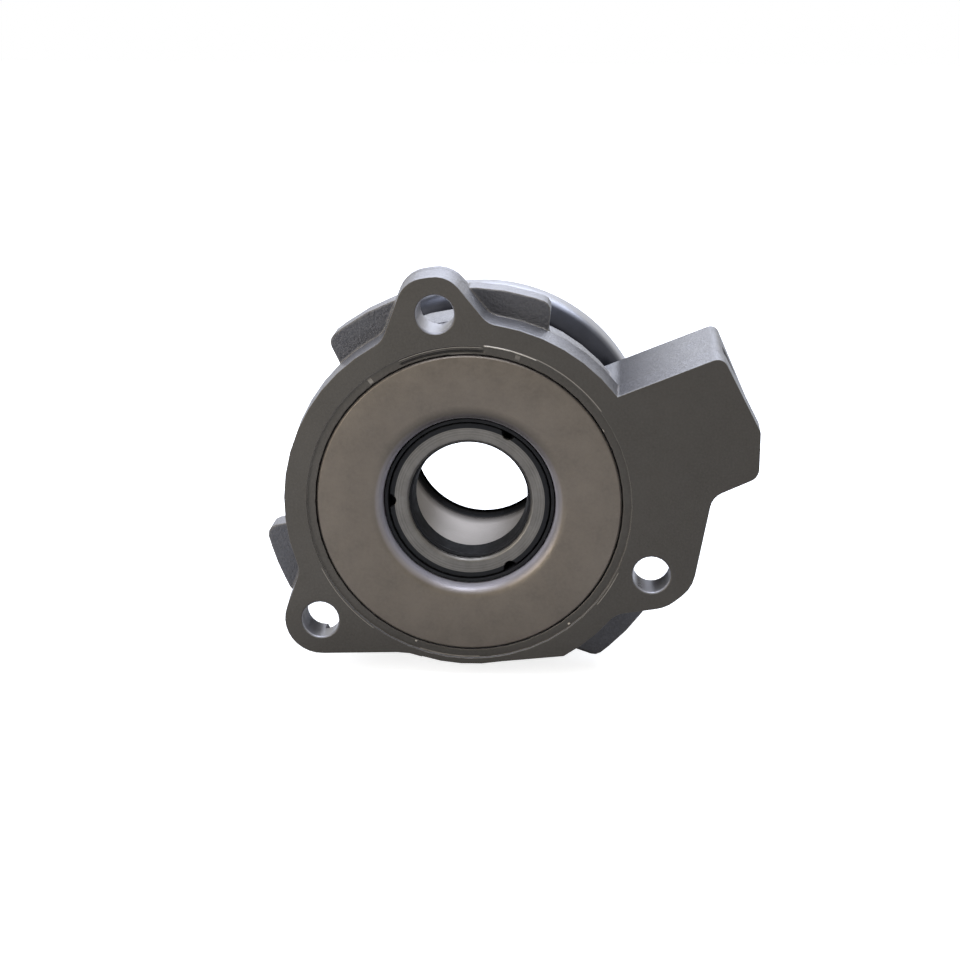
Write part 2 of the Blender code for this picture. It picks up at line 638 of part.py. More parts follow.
def build_housing(mat):
    """The die-cast housing: flange, ears, lugs, port block, cylinder and spring pocket."""
    overlap = 0.5 * MM
    flange_back = offset_outline(flange_outline(END_DRAFT), FLANGE_DRAFT)
    flange = skin_bmesh([(0.0, flange_outline()), (RIM_DEPTH, flange_back)])
    housing = make_object("housing", flange, mat)
    ear = polar(EAR_PITCH_RADIUS, EAR_ANGLES[1])
    relief = [ear + Vector(p) * EAR_ROUND for p in ((-0.15, -0.1), (0.45, -1.3), (1.6, -1.3))]
    relief.append(ear + Vector((1.6, -0.1)) * EAR_ROUND)
    relief_front = RIM_DEPTH - LEFT_EAR_RELIEF
    cut(housing, helper("relief_cutter", prism_bmesh(relief, relief_front, RIM_DEPTH + overlap)))
    body_start = RIM_DEPTH - overlap
    for index, (first, last) in enumerate(LUG_ENDS):
        form = prism_bmesh(lug_outline(first, last), body_start, LUG_BACK)
        add(housing, helper(f"lug_form_{index + 1}", form))

    # The top ear is thicker, with a spot face for its screw sunk through the lug
    inner = BODY_RADIUS - 4 * MM
    ear_back = top_ear_outline(FLANGE_DRAFT, inner)
    ear_form = loft_bmesh(ear_back, [(body_start, 0.0), (TOP_EAR_DEPTH, 0.1 * MM)])
    add(housing, helper("ear_form", ear_form))
    top = polar(EAR_PITCH_RADIUS, EAR_ANGLES[0])
    sunk = [(0.0, SPOT_FACE_RADIUS), (LUG_BACK, SPOT_FACE_RADIUS)]
    start = Vector((top.x, TOP_EAR_DEPTH, top.y))
    cut(housing, drilled("spot_face_cutter", start, Vector((0, 1, 0)), sunk, 24))
    body_end = BODY_RADIUS - BODY_TAPER
    body = [(body_start, BODY_FOOT_RADIUS), (BODY_FOOT, BODY_RADIUS)]
    body.append((BODY_TAPER_START, BODY_RADIUS - PARTING_STEP))
    body += [(BODY_DEPTH - BODY_EDGE, body_end), (BODY_DEPTH, body_end - BODY_EDGE)]
    add(housing, helper("body_form", plug_bmesh(body, FINE_STEPS)))
    edge_start = BLOCK_DEPTH - BLOCK_BACK_EDGE
    full = FLANGE_DRAFT - BLOCK_STEP
    levels = [(body_start, full - BLOCK_STEP), (BODY_TAPER_START, full)]
    for i in range(4):
        turn = pi / 2 * i / 3
        inset = BLOCK_BACK_EDGE * (1 - cos(turn))
        levels.append((edge_start + BLOCK_BACK_EDGE * sin(turn), full - inset))
    add(housing, helper("block_form", loft_bmesh(rear_block_outline(), levels)))

    # Seat for the sleeve's disc, the O-ring's groove and the cylinder bore, in one cutter
    groove_half = O_RING_SECTION + TOUCH_GAP
    seat = [(-overlap, STAKE_RADIUS), (STAKE_LAND_SINK, STAKE_RADIUS)]
    seat += [(STAKE_LAND_SINK, DISC_RADIUS + DISC_SIDE_GAP)]
    seat += [(SEAT_FLOOR, DISC_RADIUS + DISC_SIDE_GAP)]
    seat += [(SEAT_FLOOR, O_RING_RADIUS + groove_half)]
    seat += [(SEAT_FLOOR + 2 * groove_half, O_RING_RADIUS + groove_half)]
    seat += [(SEAT_FLOOR + 2 * groove_half, O_RING_RADIUS - groove_half)]
    seat += [(SEAT_FLOOR, O_RING_RADIUS - groove_half), (SEAT_FLOOR, BORE_RADIUS)]
    seat += [(BODY_DEPTH - BODY_EDGE, BORE_RADIUS)]
    seat += [(BODY_DEPTH + overlap, BORE_RADIUS + BODY_EDGE + overlap)]
    cut(housing, helper("seat_cutter", plug_bmesh(seat, FINE_STEPS)))
    pocket = [(POCKET_FLOOR, CYLINDER_OUTER), (BODY_DEPTH + overlap, CYLINDER_OUTER)]
    pocket += [(BODY_DEPTH + overlap, POCKET_OUTER), (POCKET_FLOOR, POCKET_OUTER)]
    cut(housing, helper("pocket_cutter", turned_bmesh(pocket, ROUND_STEPS)))
    for index, angle in enumerate(EAR_ANGLES):
        centre = polar(EAR_PITCH_RADIUS, angle)
        start = Vector((centre.x, -overlap, centre.y))
        hole = [(0.0, EAR_HOLE_RADIUS + EAR_HOLE_CHAMFER + overlap)]
        hole += [(overlap + EAR_HOLE_CHAMFER, EAR_HOLE_RADIUS)]
        hole += [(overlap + TOP_EAR_DEPTH + PARTING_STEP, EAR_HOLE_RADIUS)]
        cutter = drilled(f"ear_cutter_{index + 1}", start, Vector((0, 1, 0)), hole, 24)
        cut(housing, cutter)

    # Threaded port, its spot face, and the drilling from it to the cylinder
    mouth, way = port_frame()
    sunk = mouth - way * PORT_FACE_SINK
    bore = [(overlap + PORT_FACE_SINK, PORT_FACE_RADIUS), (0.0, PORT_FACE_RADIUS)]
    bore += [(0.0, PORT_BORE_RADIUS + PORT_MOUTH_CHAMFER)]
    bore += [(-PORT_MOUTH_CHAMFER, PORT_BORE_RADIUS), (-PORT_BORE_DEPTH, PORT_BORE_RADIUS)]
    bore += [(-PORT_BORE_DEPTH - PORT_BORE_RADIUS * 0.45, FLUID_HOLE_RADIUS)]
    cut(housing, drilled("port_cutter", sunk, way, bore, 24))
    inner_end = sunk - way * (PORT_BORE_DEPTH + PORT_BORE_RADIUS * 0.2)
    chamber = polar(BORE_RADIUS - overlap, angle_of((inner_end.x, inner_end.z)))
    target = Vector((chamber.x, FLUID_HOLE_DEPTH, chamber.y))
    length = (target - inner_end).length
    passage = [(0.0, FLUID_HOLE_RADIUS * 0.9), (length, FLUID_HOLE_RADIUS * 0.9)]
    along = (target - inner_end).normalized()
    cut(housing, drilled("passage_cutter", inner_end, along, passage, 12))
    return settle(housing)


def build_guide_sleeve(mat):
    """Disc, rounded mouth, seal seat, stepped tube, stop ring groove and turned-in end."""
    bend = SEAT_RADIUS + MOUTH_RADIUS
    bend_depth = DISC_SINK + MOUTH_RADIUS
    seat_outer = SEAT_RADIUS + SLEEVE_WALL
    profile = [(DISC_SINK + DISC_EDGE, DISC_RADIUS), (DISC_SINK, DISC_RADIUS - DISC_EDGE)]
    for i in range(5):
        turn = pi / 2 * i / 4
        depth = bend_depth - MOUTH_RADIUS * cos(turn)
        profile.append((depth, bend - MOUTH_RADIUS * sin(turn)))
    step = SEAT_RADIUS - TUBE_RADIUS
    profile += [(SEAT_END, SEAT_RADIUS), (SEAT_END + step / 2, TUBE_RADIUS)]
    lip = TUBE_RADIUS - TUBE_LIP_RADIUS
    lip_start = TUBE_END - TUBE_LIP_LENGTH
    for i in range(4):
        turn = pi / 2 * i / 3
        profile.append((lip_start + (TUBE_LIP_LENGTH - 0.4 * MM) * sin(turn),
                        TUBE_LIP_RADIUS + lip * cos(turn)))
    profile += [(TUBE_END, TUBE_LIP_RADIUS + 0.4 * MM)]
    profile += [(TUBE_END - 0.2 * MM, TUBE_OUTER - 0.9 * MM), (TUBE_END - 1.4 * MM, TUBE_OUTER)]
    ring_front, ring_back = stop_ring_place()
    groove = TUBE_OUTER - STOP_RING_GROOVE
    profile += [(ring_back + 0.1 * MM, TUBE_OUTER), (ring_back + 0.1 * MM, groove)]
    profile += [(ring_front - 0.1 * MM, groove), (ring_front - 0.1 * MM, TUBE_OUTER)]
    profile += [(SEAT_END + SLEEVE_WALL, TUBE_OUTER), (SEAT_END, seat_outer)]
    profile += [(bend_depth, seat_outer), (DISC_BACK, bend), (DISC_BACK, DISC_RADIUS)]
    return turned("guide_sleeve", profile, FINE_STEPS, mat)


def ring_profile(centre_y, centre_r, section, count):
    angles = [tau * i / count for i in range(count)]
    return [(centre_y + section * cos(a), centre_r + section * sin(a)) for a in angles]


def build_o_ring(mat):
    centre = SEAT_FLOOR + O_RING_SECTION + TOUCH_GAP
    profile = ring_profile(centre, O_RING_RADIUS, O_RING_SECTION, 6)
    return turned("sleeve_o_ring", profile, ROUND_STEPS, mat)


def build_shaft_seal(steel, rubber, spring):
    """Steel case with three notches, the rubber with its lips, and the garter spring."""
    skin = TOUCH_GAP * 0.8
    jacket_outer = SEAT_RADIUS - skin
    jacket_inner = jacket_outer - SEAL_JACKET
    case_outer = jacket_inner - skin
    case_inner = case_outer - SEAL_PLATE
    liner_outer = case_inner - skin
    liner_inner = liner_outer - SEAL_LINER
    case_end = SEAL_BACK - SEAL_PLATE - TOUCH_GAP
    plate_back = SEAL_FRONT + SEAL_PLATE
    chamfer = SEAL_PLATE_CHAMFER
    plate_bore = SEAT_RADIUS - SEAL_PLATE_REACH
    case = [(SEAL_FRONT + chamfer, plate_bore), (SEAL_FRONT, plate_bore + chamfer)]
    case += [(SEAL_FRONT, case_outer), (case_end, case_outer), (case_end, case_inner)]
    case += [(plate_back, case_inner), (plate_back, plate_bore)]
    case_piece = turned("seal_case", case, ROUND_STEPS, steel)
    for index, angle in enumerate(SEAL_NOTCH_ANGLES):
        centre = polar(case_outer, angle)
        start = Vector((centre.x, SEAL_FRONT - 0.5 * MM, centre.y))
        notch = [(0.0, SEAL_NOTCH_RADIUS), (SEAL_NOTCH_DEPTH + 0.5 * MM, SEAL_NOTCH_RADIUS)]
        cut(case_piece, drilled(f"notch_cutter_{index + 1}", start, Vector((0, 1, 0)), notch, 16))
    settle(case_piece)

    dust_y, dust_r = DUST_LIP[0], SEAT_RADIUS - DUST_LIP[1]
    lip_y, lip_r = MAIN_LIP[0], SEAT_RADIUS - MAIN_LIP[1]
    web_front = plate_back + TOUCH_GAP
    web_back = web_front + 1.2 * MM
    head = lip_r + 0.9 * MM
    loop = [(SEAL_FRONT - TOUCH_GAP, jacket_outer), (SEAL_BACK, jacket_outer)]
    loop += [(SEAL_BACK, liner_inner), (web_back, liner_inner), (web_back, head + 0.3 * MM)]
    loop += [(lip_y - 0.9 * MM, head), (lip_y + 1.2 * MM, head)]
    loop += [(lip_y + 1.1 * MM, lip_r + 0.5 * MM), (lip_y, lip_r)]
    loop += [(web_back + 0.5 * MM, dust_r + 0.4 * MM), (dust_y, dust_r)]
    loop += [(web_front, dust_r + 0.4 * MM), (web_front, liner_outer)]
    loop += [(case_end + TOUCH_GAP, liner_outer), (case_end + TOUCH_GAP, jacket_inner)]
    loop += [(SEAL_FRONT - TOUCH_GAP, jacket_inner)]
    turned("seal_rubber", loop, ROUND_STEPS, rubber)
    garter_radius = (head + liner_inner) / 2
    garter = ring_profile(lip_y + 0.1 * MM, garter_radius, GARTER_SECTION, 6)
    turned("garter_spring", garter, SMALL_STEPS, spring)


def stop_ring_place():
    front = PISTON_END + TOUCH_GAP
    return front, front + STOP_RING_WIDTH


def build_stop_ring(mat):
    """An open ring in the tube's groove, which ends the bearing's outward travel."""
    front, back = stop_ring_place()
    inner = TUBE_OUTER - STOP_RING_GROOVE + 0.1 * MM
    outer = TUBE_OUTER + STOP_RING_REACH
    half = STOP_RING_OPENING / 2
    outline = arc_points((0, 0), outer, 270 + half, 630 - half, 9.0)
    outline += arc_points((0, 0), inner, 630 - half, 270 + half, 9.0)
    return make_object("stop_ring", prism_bmesh(outline, front, back), mat)


def build_piston(mat, seal_mat, ring_mat, wiper_mat):
    """The annular piston, with its lip seal, guide ring and wiper."""
    seal_back = PISTON_SEAL_FRONT + PISTON_SEAL_WIDTH
    front = seal_back + TOUCH_GAP
    guide_front = front + 1.5 * MM
    guide_back = guide_front + GUIDE_RING_WIDTH + 2 * TOUCH_GAP
    guide_floor = PISTON_RADIUS - GUIDE_RING_SECTION - TOUCH_GAP
    wiper_back = PISTON_SHOULDER - 1.0 * MM
    wiper_front = wiper_back - WIPER_WIDTH - 2 * TOUCH_GAP
    wiper_roof = PISTON_BORE + WIPER_SECTION + TOUCH_GAP
    pilot = CUP_BORE - TOUCH_GAP
    hook_front = CUP_BACK + TOUCH_GAP
    loop = [(front, PISTON_BORE), (front, PISTON_RADIUS), (guide_front, PISTON_RADIUS)]
    loop += [(guide_front, guide_floor), (guide_back, guide_floor)]
    loop += [(guide_back, PISTON_RADIUS), (PISTON_SHOULDER, PISTON_RADIUS)]
    loop += [(PISTON_SHOULDER, pilot), (hook_front, pilot), (hook_front, pilot + PISTON_HOOK)]
    loop += [(PISTON_END, pilot), (PISTON_END, PISTON_BORE), (wiper_back, PISTON_BORE)]
    loop += [(wiper_back, wiper_roof), (wiper_front, wiper_roof), (wiper_front, PISTON_BORE)]
    turned("piston", loop, ROUND_STEPS, mat)

    vee = (PISTON_BORE + PISTON_RADIUS) / 2
    seal = [(seal_back, PISTON_BORE), (PISTON_SEAL_FRONT, PISTON_BORE)]
    seal += [(PISTON_SEAL_FRONT, PISTON_BORE + 0.9 * MM), (seal_back - 1.3 * MM, vee)]
    seal += [(PISTON_SEAL_FRONT, PISTON_RADIUS - 0.9 * MM), (PISTON_SEAL_FRONT, PISTON_RADIUS)]
    seal += [(seal_back, PISTON_RADIUS)]
    turned("piston_seal", seal, ROUND_STEPS, seal_mat)

    ring_front = guide_front + TOUCH_GAP
    ring_back = ring_front + GUIDE_RING_WIDTH
    ring_inner = PISTON_RADIUS - GUIDE_RING_SECTION
    ring = [(ring_front, ring_inner), (ring_front, PISTON_RADIUS)]
    ring += [(ring_back, PISTON_RADIUS), (ring_back, ring_inner)]
    turned("piston_guide_ring", ring, SMALL_STEPS, ring_mat)

    lip = wiper_front + TOUCH_GAP
    wiper = [(lip, PISTON_BORE), (lip, PISTON_BORE + WIPER_SECTION)]
    wiper += [(lip + WIPER_WIDTH, PISTON_BORE + WIPER_SECTION)]
    wiper += [(lip + WIPER_WIDTH, PISTON_BORE + WIPER_SECTION / 2)]
    turned("tube_wiper", wiper, SMALL_STEPS, wiper_mat)


def build_preload_spring(mat):
    """A round-wire coil with flat end turns, between the pocket's floor and the cup."""
    low = POCKET_FLOOR + TOUCH_GAP + WIRE_RADIUS
    high = CUP_FRONT - TOUCH_GAP - WIRE_RADIUS
    end_rise = 2.1 * WIRE_RADIUS
    rest = (high - low - 2 * end_rise) / (SPRING_TURNS - 2)
    count = int(SPRING_TURNS * SPRING_STEPS)
    curve = bpy.data.curves.new("preload_spring", "CURVE")
    curve.dimensions = "3D"
    curve.bevel_depth = WIRE_RADIUS
    curve.bevel_resolution = 1
    curve.use_fill_caps = True
    path = curve.splines.new("POLY")
    path.points.add(count)
    for i, point in enumerate(path.points):
        turns = SPRING_TURNS * i / count
        rise = end_rise * min(turns, 1.0)
        rise += rest * max(0.0, min(turns - 1.0, SPRING_TURNS - 2.0))
        rise += end_rise * max(0.0, turns - (SPRING_TURNS - 1.0))
        place = polar(SPRING_RADIUS, 360 * turns)
        point.co = (place.x, low + rise, place.y, 1.0)
    curve.materials.append(mat)
    spring = bpy.data.objects.new("preload_spring", curve)
    COLLECTION.objects.link(spring)
    return spring


def build_bearing_cup(mat):
    """The pressed cup that carries the bearing, with its rounded shoulder and closed lip."""
    inside = CUP_RADIUS - CUP_WALL
    centre_r = CUP_RADIUS - CUP_SHOULDER
    centre_y = CUP_FRONT + CUP_SHOULDER
    inner_shoulder = CUP_SHOULDER - CUP_WALL
    loop = [(CUP_FRONT, CUP_BORE)]
    for i in range(5):
        turn = pi / 2 * i / 4
        loop.append((centre_y - CUP_SHOULDER * cos(turn), centre_r + CUP_SHOULDER * sin(turn)))
    loop += [(CUP_END - 0.7 * MM, CUP_RADIUS), (CUP_END, CUP_RADIUS - 0.7 * MM)]
    loop += [(CUP_END, inside - CUP_LIP), (CUP_END - CUP_WALL, inside - CUP_LIP)]
    loop += [(CUP_END - CUP_WALL, inside)]
    for i in range(4):
        turn = pi / 2 * (1 - i / 3)
        loop.append((centre_y - inner_shoulder * cos(turn), centre_r + inner_shoulder * sin(turn)))
    loop += [(CUP_BACK, CUP_BORE)]
    return turned("bearing_cup", loop, FINE_STEPS, mat)


def groove_arc(first, last, count):
    """Points of the ball groove, by the radius at which it starts and ends."""
    def turn_at(radius):
        return acos(max(-1.0, min(1.0, (radius - PITCH_RADIUS) / GROOVE_RADIUS)))
    points = []
    for i in range(count):
        turn = -turn_at(first) + (turn_at(last) + turn_at(first)) * i / (count - 1)
        points.append((BALL_PLANE + GROOVE_RADIUS * sin(turn),
                       PITCH_RADIUS + GROOVE_RADIUS * cos(turn)))
    return points


def build_outer_ring(mat):
    corner = CUP_SHOULDER - CUP_WALL
    loop = [(OUTER_FRONT, OUTER_HIGH_SHOULDER)]
    loop += groove_arc(OUTER_HIGH_SHOULDER, OUTER_LOW_SHOULDER, 6)
    loop += [(OUTER_BACK, OUTER_LOW_SHOULDER), (OUTER_BACK, OUTER_RADIUS)]
    loop += [(OUTER_FRONT + corner, OUTER_RADIUS), (OUTER_FRONT, OUTER_RADIUS - corner)]
    return turned("bearing_outer_ring", loop, ROUND_STEPS, mat)


def build_inner_ring(mat):
    """The turning ring: ball groove, neck, and the crowned face that meets the clutch."""
    front = PISTON_END + TOUCH_GAP * 2
    low, high = PITCH_RADIUS - THRUST_LAND[1], PITCH_RADIUS - THRUST_LAND[0]
    loop = [(front, INNER_BORE), (front, INNER_LOW_SHOULDER)]
    arc = []
    for y, r in groove_arc(2 * PITCH_RADIUS - INNER_LOW_SHOULDER,
                           2 * PITCH_RADIUS - INNER_HIGH_SHOULDER, 6):
        arc.append((y, 2 * PITCH_RADIUS - r))
    loop += arc
    loop += [(OUTER_BACK - 1.4 * MM, INNER_HIGH_SHOULDER), (OUTER_BACK - 1.2 * MM, NECK_RADIUS)]
    loop += [(THRUST_BACK, NECK_RADIUS), (THRUST_BACK, THRUST_RADIUS - 0.5 * MM)]
    loop += [(THRUST_BACK + 0.5 * MM, THRUST_RADIUS), (THRUST_FRONT - 1.0 * MM, THRUST_RADIUS)]
    loop += [(THRUST_FRONT - 0.3 * MM, THRUST_RADIUS - 1.0 * MM), (THRUST_FRONT, high)]
    loop += [(THRUST_FRONT, low), (THRUST_FRONT - 0.4 * MM, low - 1.6 * MM)]
    loop += [(THRUST_FRONT - 1.4 * MM, INNER_BORE)]
    return turned("bearing_inner_ring", loop, ROUND_STEPS, mat)


def build_balls(mat):
    mesh_form = bmesh.new()
    around, high = BALL_STEPS
    bmesh.ops.create_uvsphere(mesh_form, u_segments=around, v_segments=high, radius=BALL_RADIUS)
    first = make_object("ball_01", mesh_form, mat, 60.0)
    for index in range(BALL_COUNT):
        place = polar(PITCH_RADIUS, 360 * (index + 0.5) / BALL_COUNT)
        if index == 0:
            ball = first
        else:
            ball = bpy.data.objects.new(f"ball_{index + 1:02d}", first.data)
            COLLECTION.objects.link(ball)
        ball.location = (place.x, BALL_PLANE, place.y)


def build_cage(mat):
    """A crown cage: one ring, with a round pocket for each ball open at its far side."""
    front = BALL_PLANE - GROOVE_RADIUS - CAGE_WEB
    outer = OUTER_HIGH_SHOULDER - TOUCH_GAP
    loop = [(front, CAGE_INNER), (front, outer)]
    loop += [(front + CAGE_DEPTH, outer), (front + CAGE_DEPTH, CAGE_INNER)]
    cage = turned("ball_cage", loop, BALL_COUNT * 4, mat)
    pockets = bmesh.new()
    for index in range(BALL_COUNT):
        place = polar(PITCH_RADIUS, 360 * (index + 0.5) / BALL_COUNT)
        where = Matrix.Translation((place.x, BALL_PLANE, place.y))
        bmesh.ops.create_uvsphere(pockets, u_segments=10, v_segments=6, radius=GROOVE_RADIUS,
                                  matrix=where)
    cut(cage, helper("pocket_form", pockets))
    return settle(cage)


def build_bearing_seal(mat):
    inner = NECK_RADIUS + TOUCH_GAP
    outer = OUTER_LOW_SHOULDER - TOUCH_GAP
    front = OUTER_BACK - BEARING_SEAL_WIDTH
    loop = [(front, inner), (front, outer), (OUTER_BACK, outer), (OUTER_BACK, inner + 0.8 * MM)]
    loop += [(OUTER_BACK + 0.4 * MM, inner)]
    return turned("bearing_seal", loop, ROUND_STEPS, mat)


def build():
    clear_scene()
    cast = material("cast_aluminium", (0.11, 0.105, 0.095), 0.55, 0.85)
    drawn = material("drawn_steel", (0.20, 0.18, 0.155), 0.42, 0.95)
    rubber = material("black_rubber", (0.018, 0.018, 0.02), 0.6, 0.0)
    seal_steel = material("seal_steel", (0.19, 0.175, 0.155), 0.4, 0.95)
    spring_steel = material("spring_steel", (0.12, 0.12, 0.125), 0.35, 0.95)
    dark_steel = material("dark_steel", (0.05, 0.05, 0.055), 0.35, 0.9)
    bearing_steel = material("bearing_steel", (0.5, 0.5, 0.5), 0.2, 1.0)
    piston_alloy = material("piston_alloy", (0.35, 0.35, 0.34), 0.35, 0.9)
    cage_plastic = material("cage_plastic", (0.35, 0.24, 0.12), 0.5, 0.0)
    ring_plastic = material("ring_plastic", (0.6, 0.58, 0.52), 0.5, 0.0)
    build_housing(cast)
    build_guide_sleeve(drawn)
    build_o_ring(rubber)
    build_shaft_seal(seal_steel, rubber, spring_steel)
    build_stop_ring(spring_steel)
    build_piston(piston_alloy, rubber, ring_plastic, rubber)
    build_preload_spring(spring_steel)
    build_bearing_cup(dark_steel)
    build_outer_ring(bearing_steel)
    build_inner_ring(bearing_steel)
    build_balls(bearing_steel)
    build_cage(cage_plastic)
    build_bearing_seal(rubber)


build()
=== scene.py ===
"""The looks of a hydraulic clutch release bearing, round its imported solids.

Everything is in metres in the part's own frame: +Z up, the shaft axis along Y, the mounting
face at y = 0 towards the camera, and the bearing behind it.
"""
import json
from math import atan2, ceil, cos, pi, radians, sin, tan, tau

import bmesh
import bpy
from mathutils import Matrix, Vector

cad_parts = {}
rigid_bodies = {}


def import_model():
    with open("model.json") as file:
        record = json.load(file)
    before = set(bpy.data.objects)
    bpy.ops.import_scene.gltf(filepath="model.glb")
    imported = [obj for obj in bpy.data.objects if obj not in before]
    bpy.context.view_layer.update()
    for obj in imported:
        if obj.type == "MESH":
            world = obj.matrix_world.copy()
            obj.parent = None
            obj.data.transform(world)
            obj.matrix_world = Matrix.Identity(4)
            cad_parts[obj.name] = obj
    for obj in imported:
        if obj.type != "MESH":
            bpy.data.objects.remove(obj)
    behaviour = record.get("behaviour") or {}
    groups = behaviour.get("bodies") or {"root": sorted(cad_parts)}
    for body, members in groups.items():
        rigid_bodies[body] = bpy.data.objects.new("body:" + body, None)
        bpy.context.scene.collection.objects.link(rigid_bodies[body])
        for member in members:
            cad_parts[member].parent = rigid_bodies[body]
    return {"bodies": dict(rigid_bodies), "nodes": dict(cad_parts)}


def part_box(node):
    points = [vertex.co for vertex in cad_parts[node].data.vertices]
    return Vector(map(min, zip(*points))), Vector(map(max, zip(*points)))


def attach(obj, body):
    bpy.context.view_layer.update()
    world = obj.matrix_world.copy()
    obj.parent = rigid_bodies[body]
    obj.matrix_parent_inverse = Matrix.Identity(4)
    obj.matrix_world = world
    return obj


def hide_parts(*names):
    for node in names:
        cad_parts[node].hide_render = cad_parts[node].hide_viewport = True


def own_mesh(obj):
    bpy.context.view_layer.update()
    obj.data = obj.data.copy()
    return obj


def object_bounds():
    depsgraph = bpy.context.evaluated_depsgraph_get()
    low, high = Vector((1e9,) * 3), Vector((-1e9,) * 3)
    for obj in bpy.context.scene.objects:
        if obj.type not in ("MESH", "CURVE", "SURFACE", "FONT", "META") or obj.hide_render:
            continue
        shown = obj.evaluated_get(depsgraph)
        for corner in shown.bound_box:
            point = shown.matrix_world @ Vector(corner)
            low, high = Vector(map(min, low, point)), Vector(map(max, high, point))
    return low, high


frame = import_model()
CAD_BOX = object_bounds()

MM = 0.001

# Camera, solved from the photograph: its place, how far it looks down and to the left, its lens
CAMERA_PLACE = (0.0268453, -0.3498378, 0.1077134)
CAMERA_DOWN = 16.32
CAMERA_LEFT = 4.03
CAMERA_LENS = 73.74
SENSOR_WIDTH = 36.0

# Light: each lamp's place, size, power and colour
DAYLIGHT = (0.76, 0.83, 1.0)
ROOM_LIGHT = (1.0, 0.96, 0.90)
WINDOW = ((0.05, 0.50, 0.62), 0.9, 9.5, DAYLIGHT)
CEILING = ((-0.05, -0.12, 0.68), 0.5, 6.0, DAYLIGHT)
SIDE = ((-0.42, -0.38, 0.16), 0.35, 1.6, ROOM_LIGHT)
WORLD_LEVEL = 0.55
WHITE = (1.0, 1.0, 1.0)
BLACK = (0.0, 0.0, 0.0)
FLOOR_COLOUR = (0.62, 0.62, 0.62)
FLOOR_GLOW = 0.8
FLOOR_ROUGHNESS = 0.9
FLOOR_SIZE = 3.0
FLOOR_GAP = 0.2 * MM
LIGHT_AIM = (0.0, 0.02, 0.0)
CAMERA_CLIP = 0.01

# Colours of the finishes and of the painted highlights and shade, as linear values, and how
# metallic they are
CAST_COLOUR = (0.0650, 0.0580, 0.0485)
CAST_SIDE_COLOUR = (0.0720, 0.0700, 0.0720)
DISC_COLOUR = (0.1180, 0.0985, 0.0775)
TUBE_COLOUR = (0.2300, 0.2110, 0.1900)
# Painted highlight in the sleeve's mouth
MOUTH_HIGHLIGHT_COLOUR = (0.3000, 0.2800, 0.2950)
SEAL_STEEL_COLOUR = (0.1250, 0.1150, 0.1010)
RUBBER_COLOUR = (0.0075, 0.0075, 0.0078)
RUBBER_SHEEN = 0.12
DARK_STEEL_COLOUR = (0.036, 0.037, 0.044)
CUP_HIGHLIGHT_COLOUR = (0.25, 0.25, 0.27)
SPRING_COLOUR = (0.13, 0.13, 0.135)
BEARING_COLOUR = (0.42, 0.41, 0.40)
PISTON_COLOUR = (0.32, 0.315, 0.30)
CAGE_COLOUR = (0.24, 0.13, 0.05)
GUIDE_COLOUR = (0.42, 0.39, 0.32)
# Painted shade in the sunk staking marks
GROOVE_SHADE_COLOUR = (0.01, 0.01, 0.01)
TUBE_TINT = (0.25, 0.25, 0.25)
STEEL_METALLIC = 0.95
DRAWN_METALLIC = 0.9
MOUTH_METALLIC = 0.35
CAST_METALLIC = 0.85
# Metallic of the up-facing casting faces that carry the painted top light
TOP_LIT_METALLIC = 0.60

# Where each finish and each painted light or shade changes on the casting: pairs are the two ends
# of a blend
SIDE_DEPTH = (0.05 * MM, 0.6 * MM)
SIDE_RADIUS = (31.2 * MM, 31.6 * MM)
ROUNDING_DEPTH = (0.2 * MM, 1.5 * MM)
ROUNDING = (0.22 * MM, 0.7 * MM)
GRAIN_DEPTH = (0.018, 0.10)
UPWARD_SPAN = (0.1, 0.75)
# Painted shade: across towards the port's side and down to the bottom of the casting
SHADE_ACROSS = (-20.0 * MM, 40.0 * MM)
SHADE_DOWN = (-18.0 * MM, -33.0 * MM)
SHADE_PORT_SIDE = 0.30
SHADE_LOW = 0.35
BLOCK_ACROSS = (12.0 * MM, 20.0 * MM)
BLOCK_INNER = (34.2 * MM, 35.4 * MM)
BLOCK_OUTER = (50.0 * MM, 36.0 * MM)

# The same for the sleeve's mouth and tube, the seal's flash and the cup's shoulder
MOUTH_DEPTH = (0.35 * MM, 1.6 * MM)
MOUTH_SHEEN_DEPTH = (0.4 * MM, 1.5 * MM)
MOUTH_SHADE_HEIGHT = (6.0 * MM, 17.0 * MM)
MOUTH_SHADE_RADIUS = (19.2 * MM, 17.2 * MM)
LIT_EDGE_DEPTH = (2.0 * MM, 9.0 * MM)
TUBE_START = (9.5 * MM, 11.5 * MM)
TUBE_SHADE_END = (36.5 * MM, 41.8 * MM)
FLASH_RADIUS = (14.16 * MM, 14.24 * MM)
FLASH_WANDER = 0.06 * MM
CUP_SHOULDER = (39.8 * MM, 42.6 * MM)

# Smoothness of the round skins, how far edges are rounded, and the turns that count as edges
TURNED_STEPS = 160
BALL_SEGMENTS = (40, 20)
EDGE_ROUND = 0.15 * MM
SOFT_ROUND = 0.10 * MM
STEEL_ROUND = 0.12 * MM
WELD_REACH = 0.001 * MM
BEVEL_SAMPLES = 6
EDGE_TURN = (0.98, 0.75)
SHARP_ANGLE = 40.0
TURNED_SHARP = 60.0
PLAIN_SHARP = 35.0
BEVEL_ANGLE = 34.0
FLAT_ANGLE = 0.6
SHALLOW_BEND = 28.0
CORNER_STEP = 25.0
CORNER_SHARE = 0.42

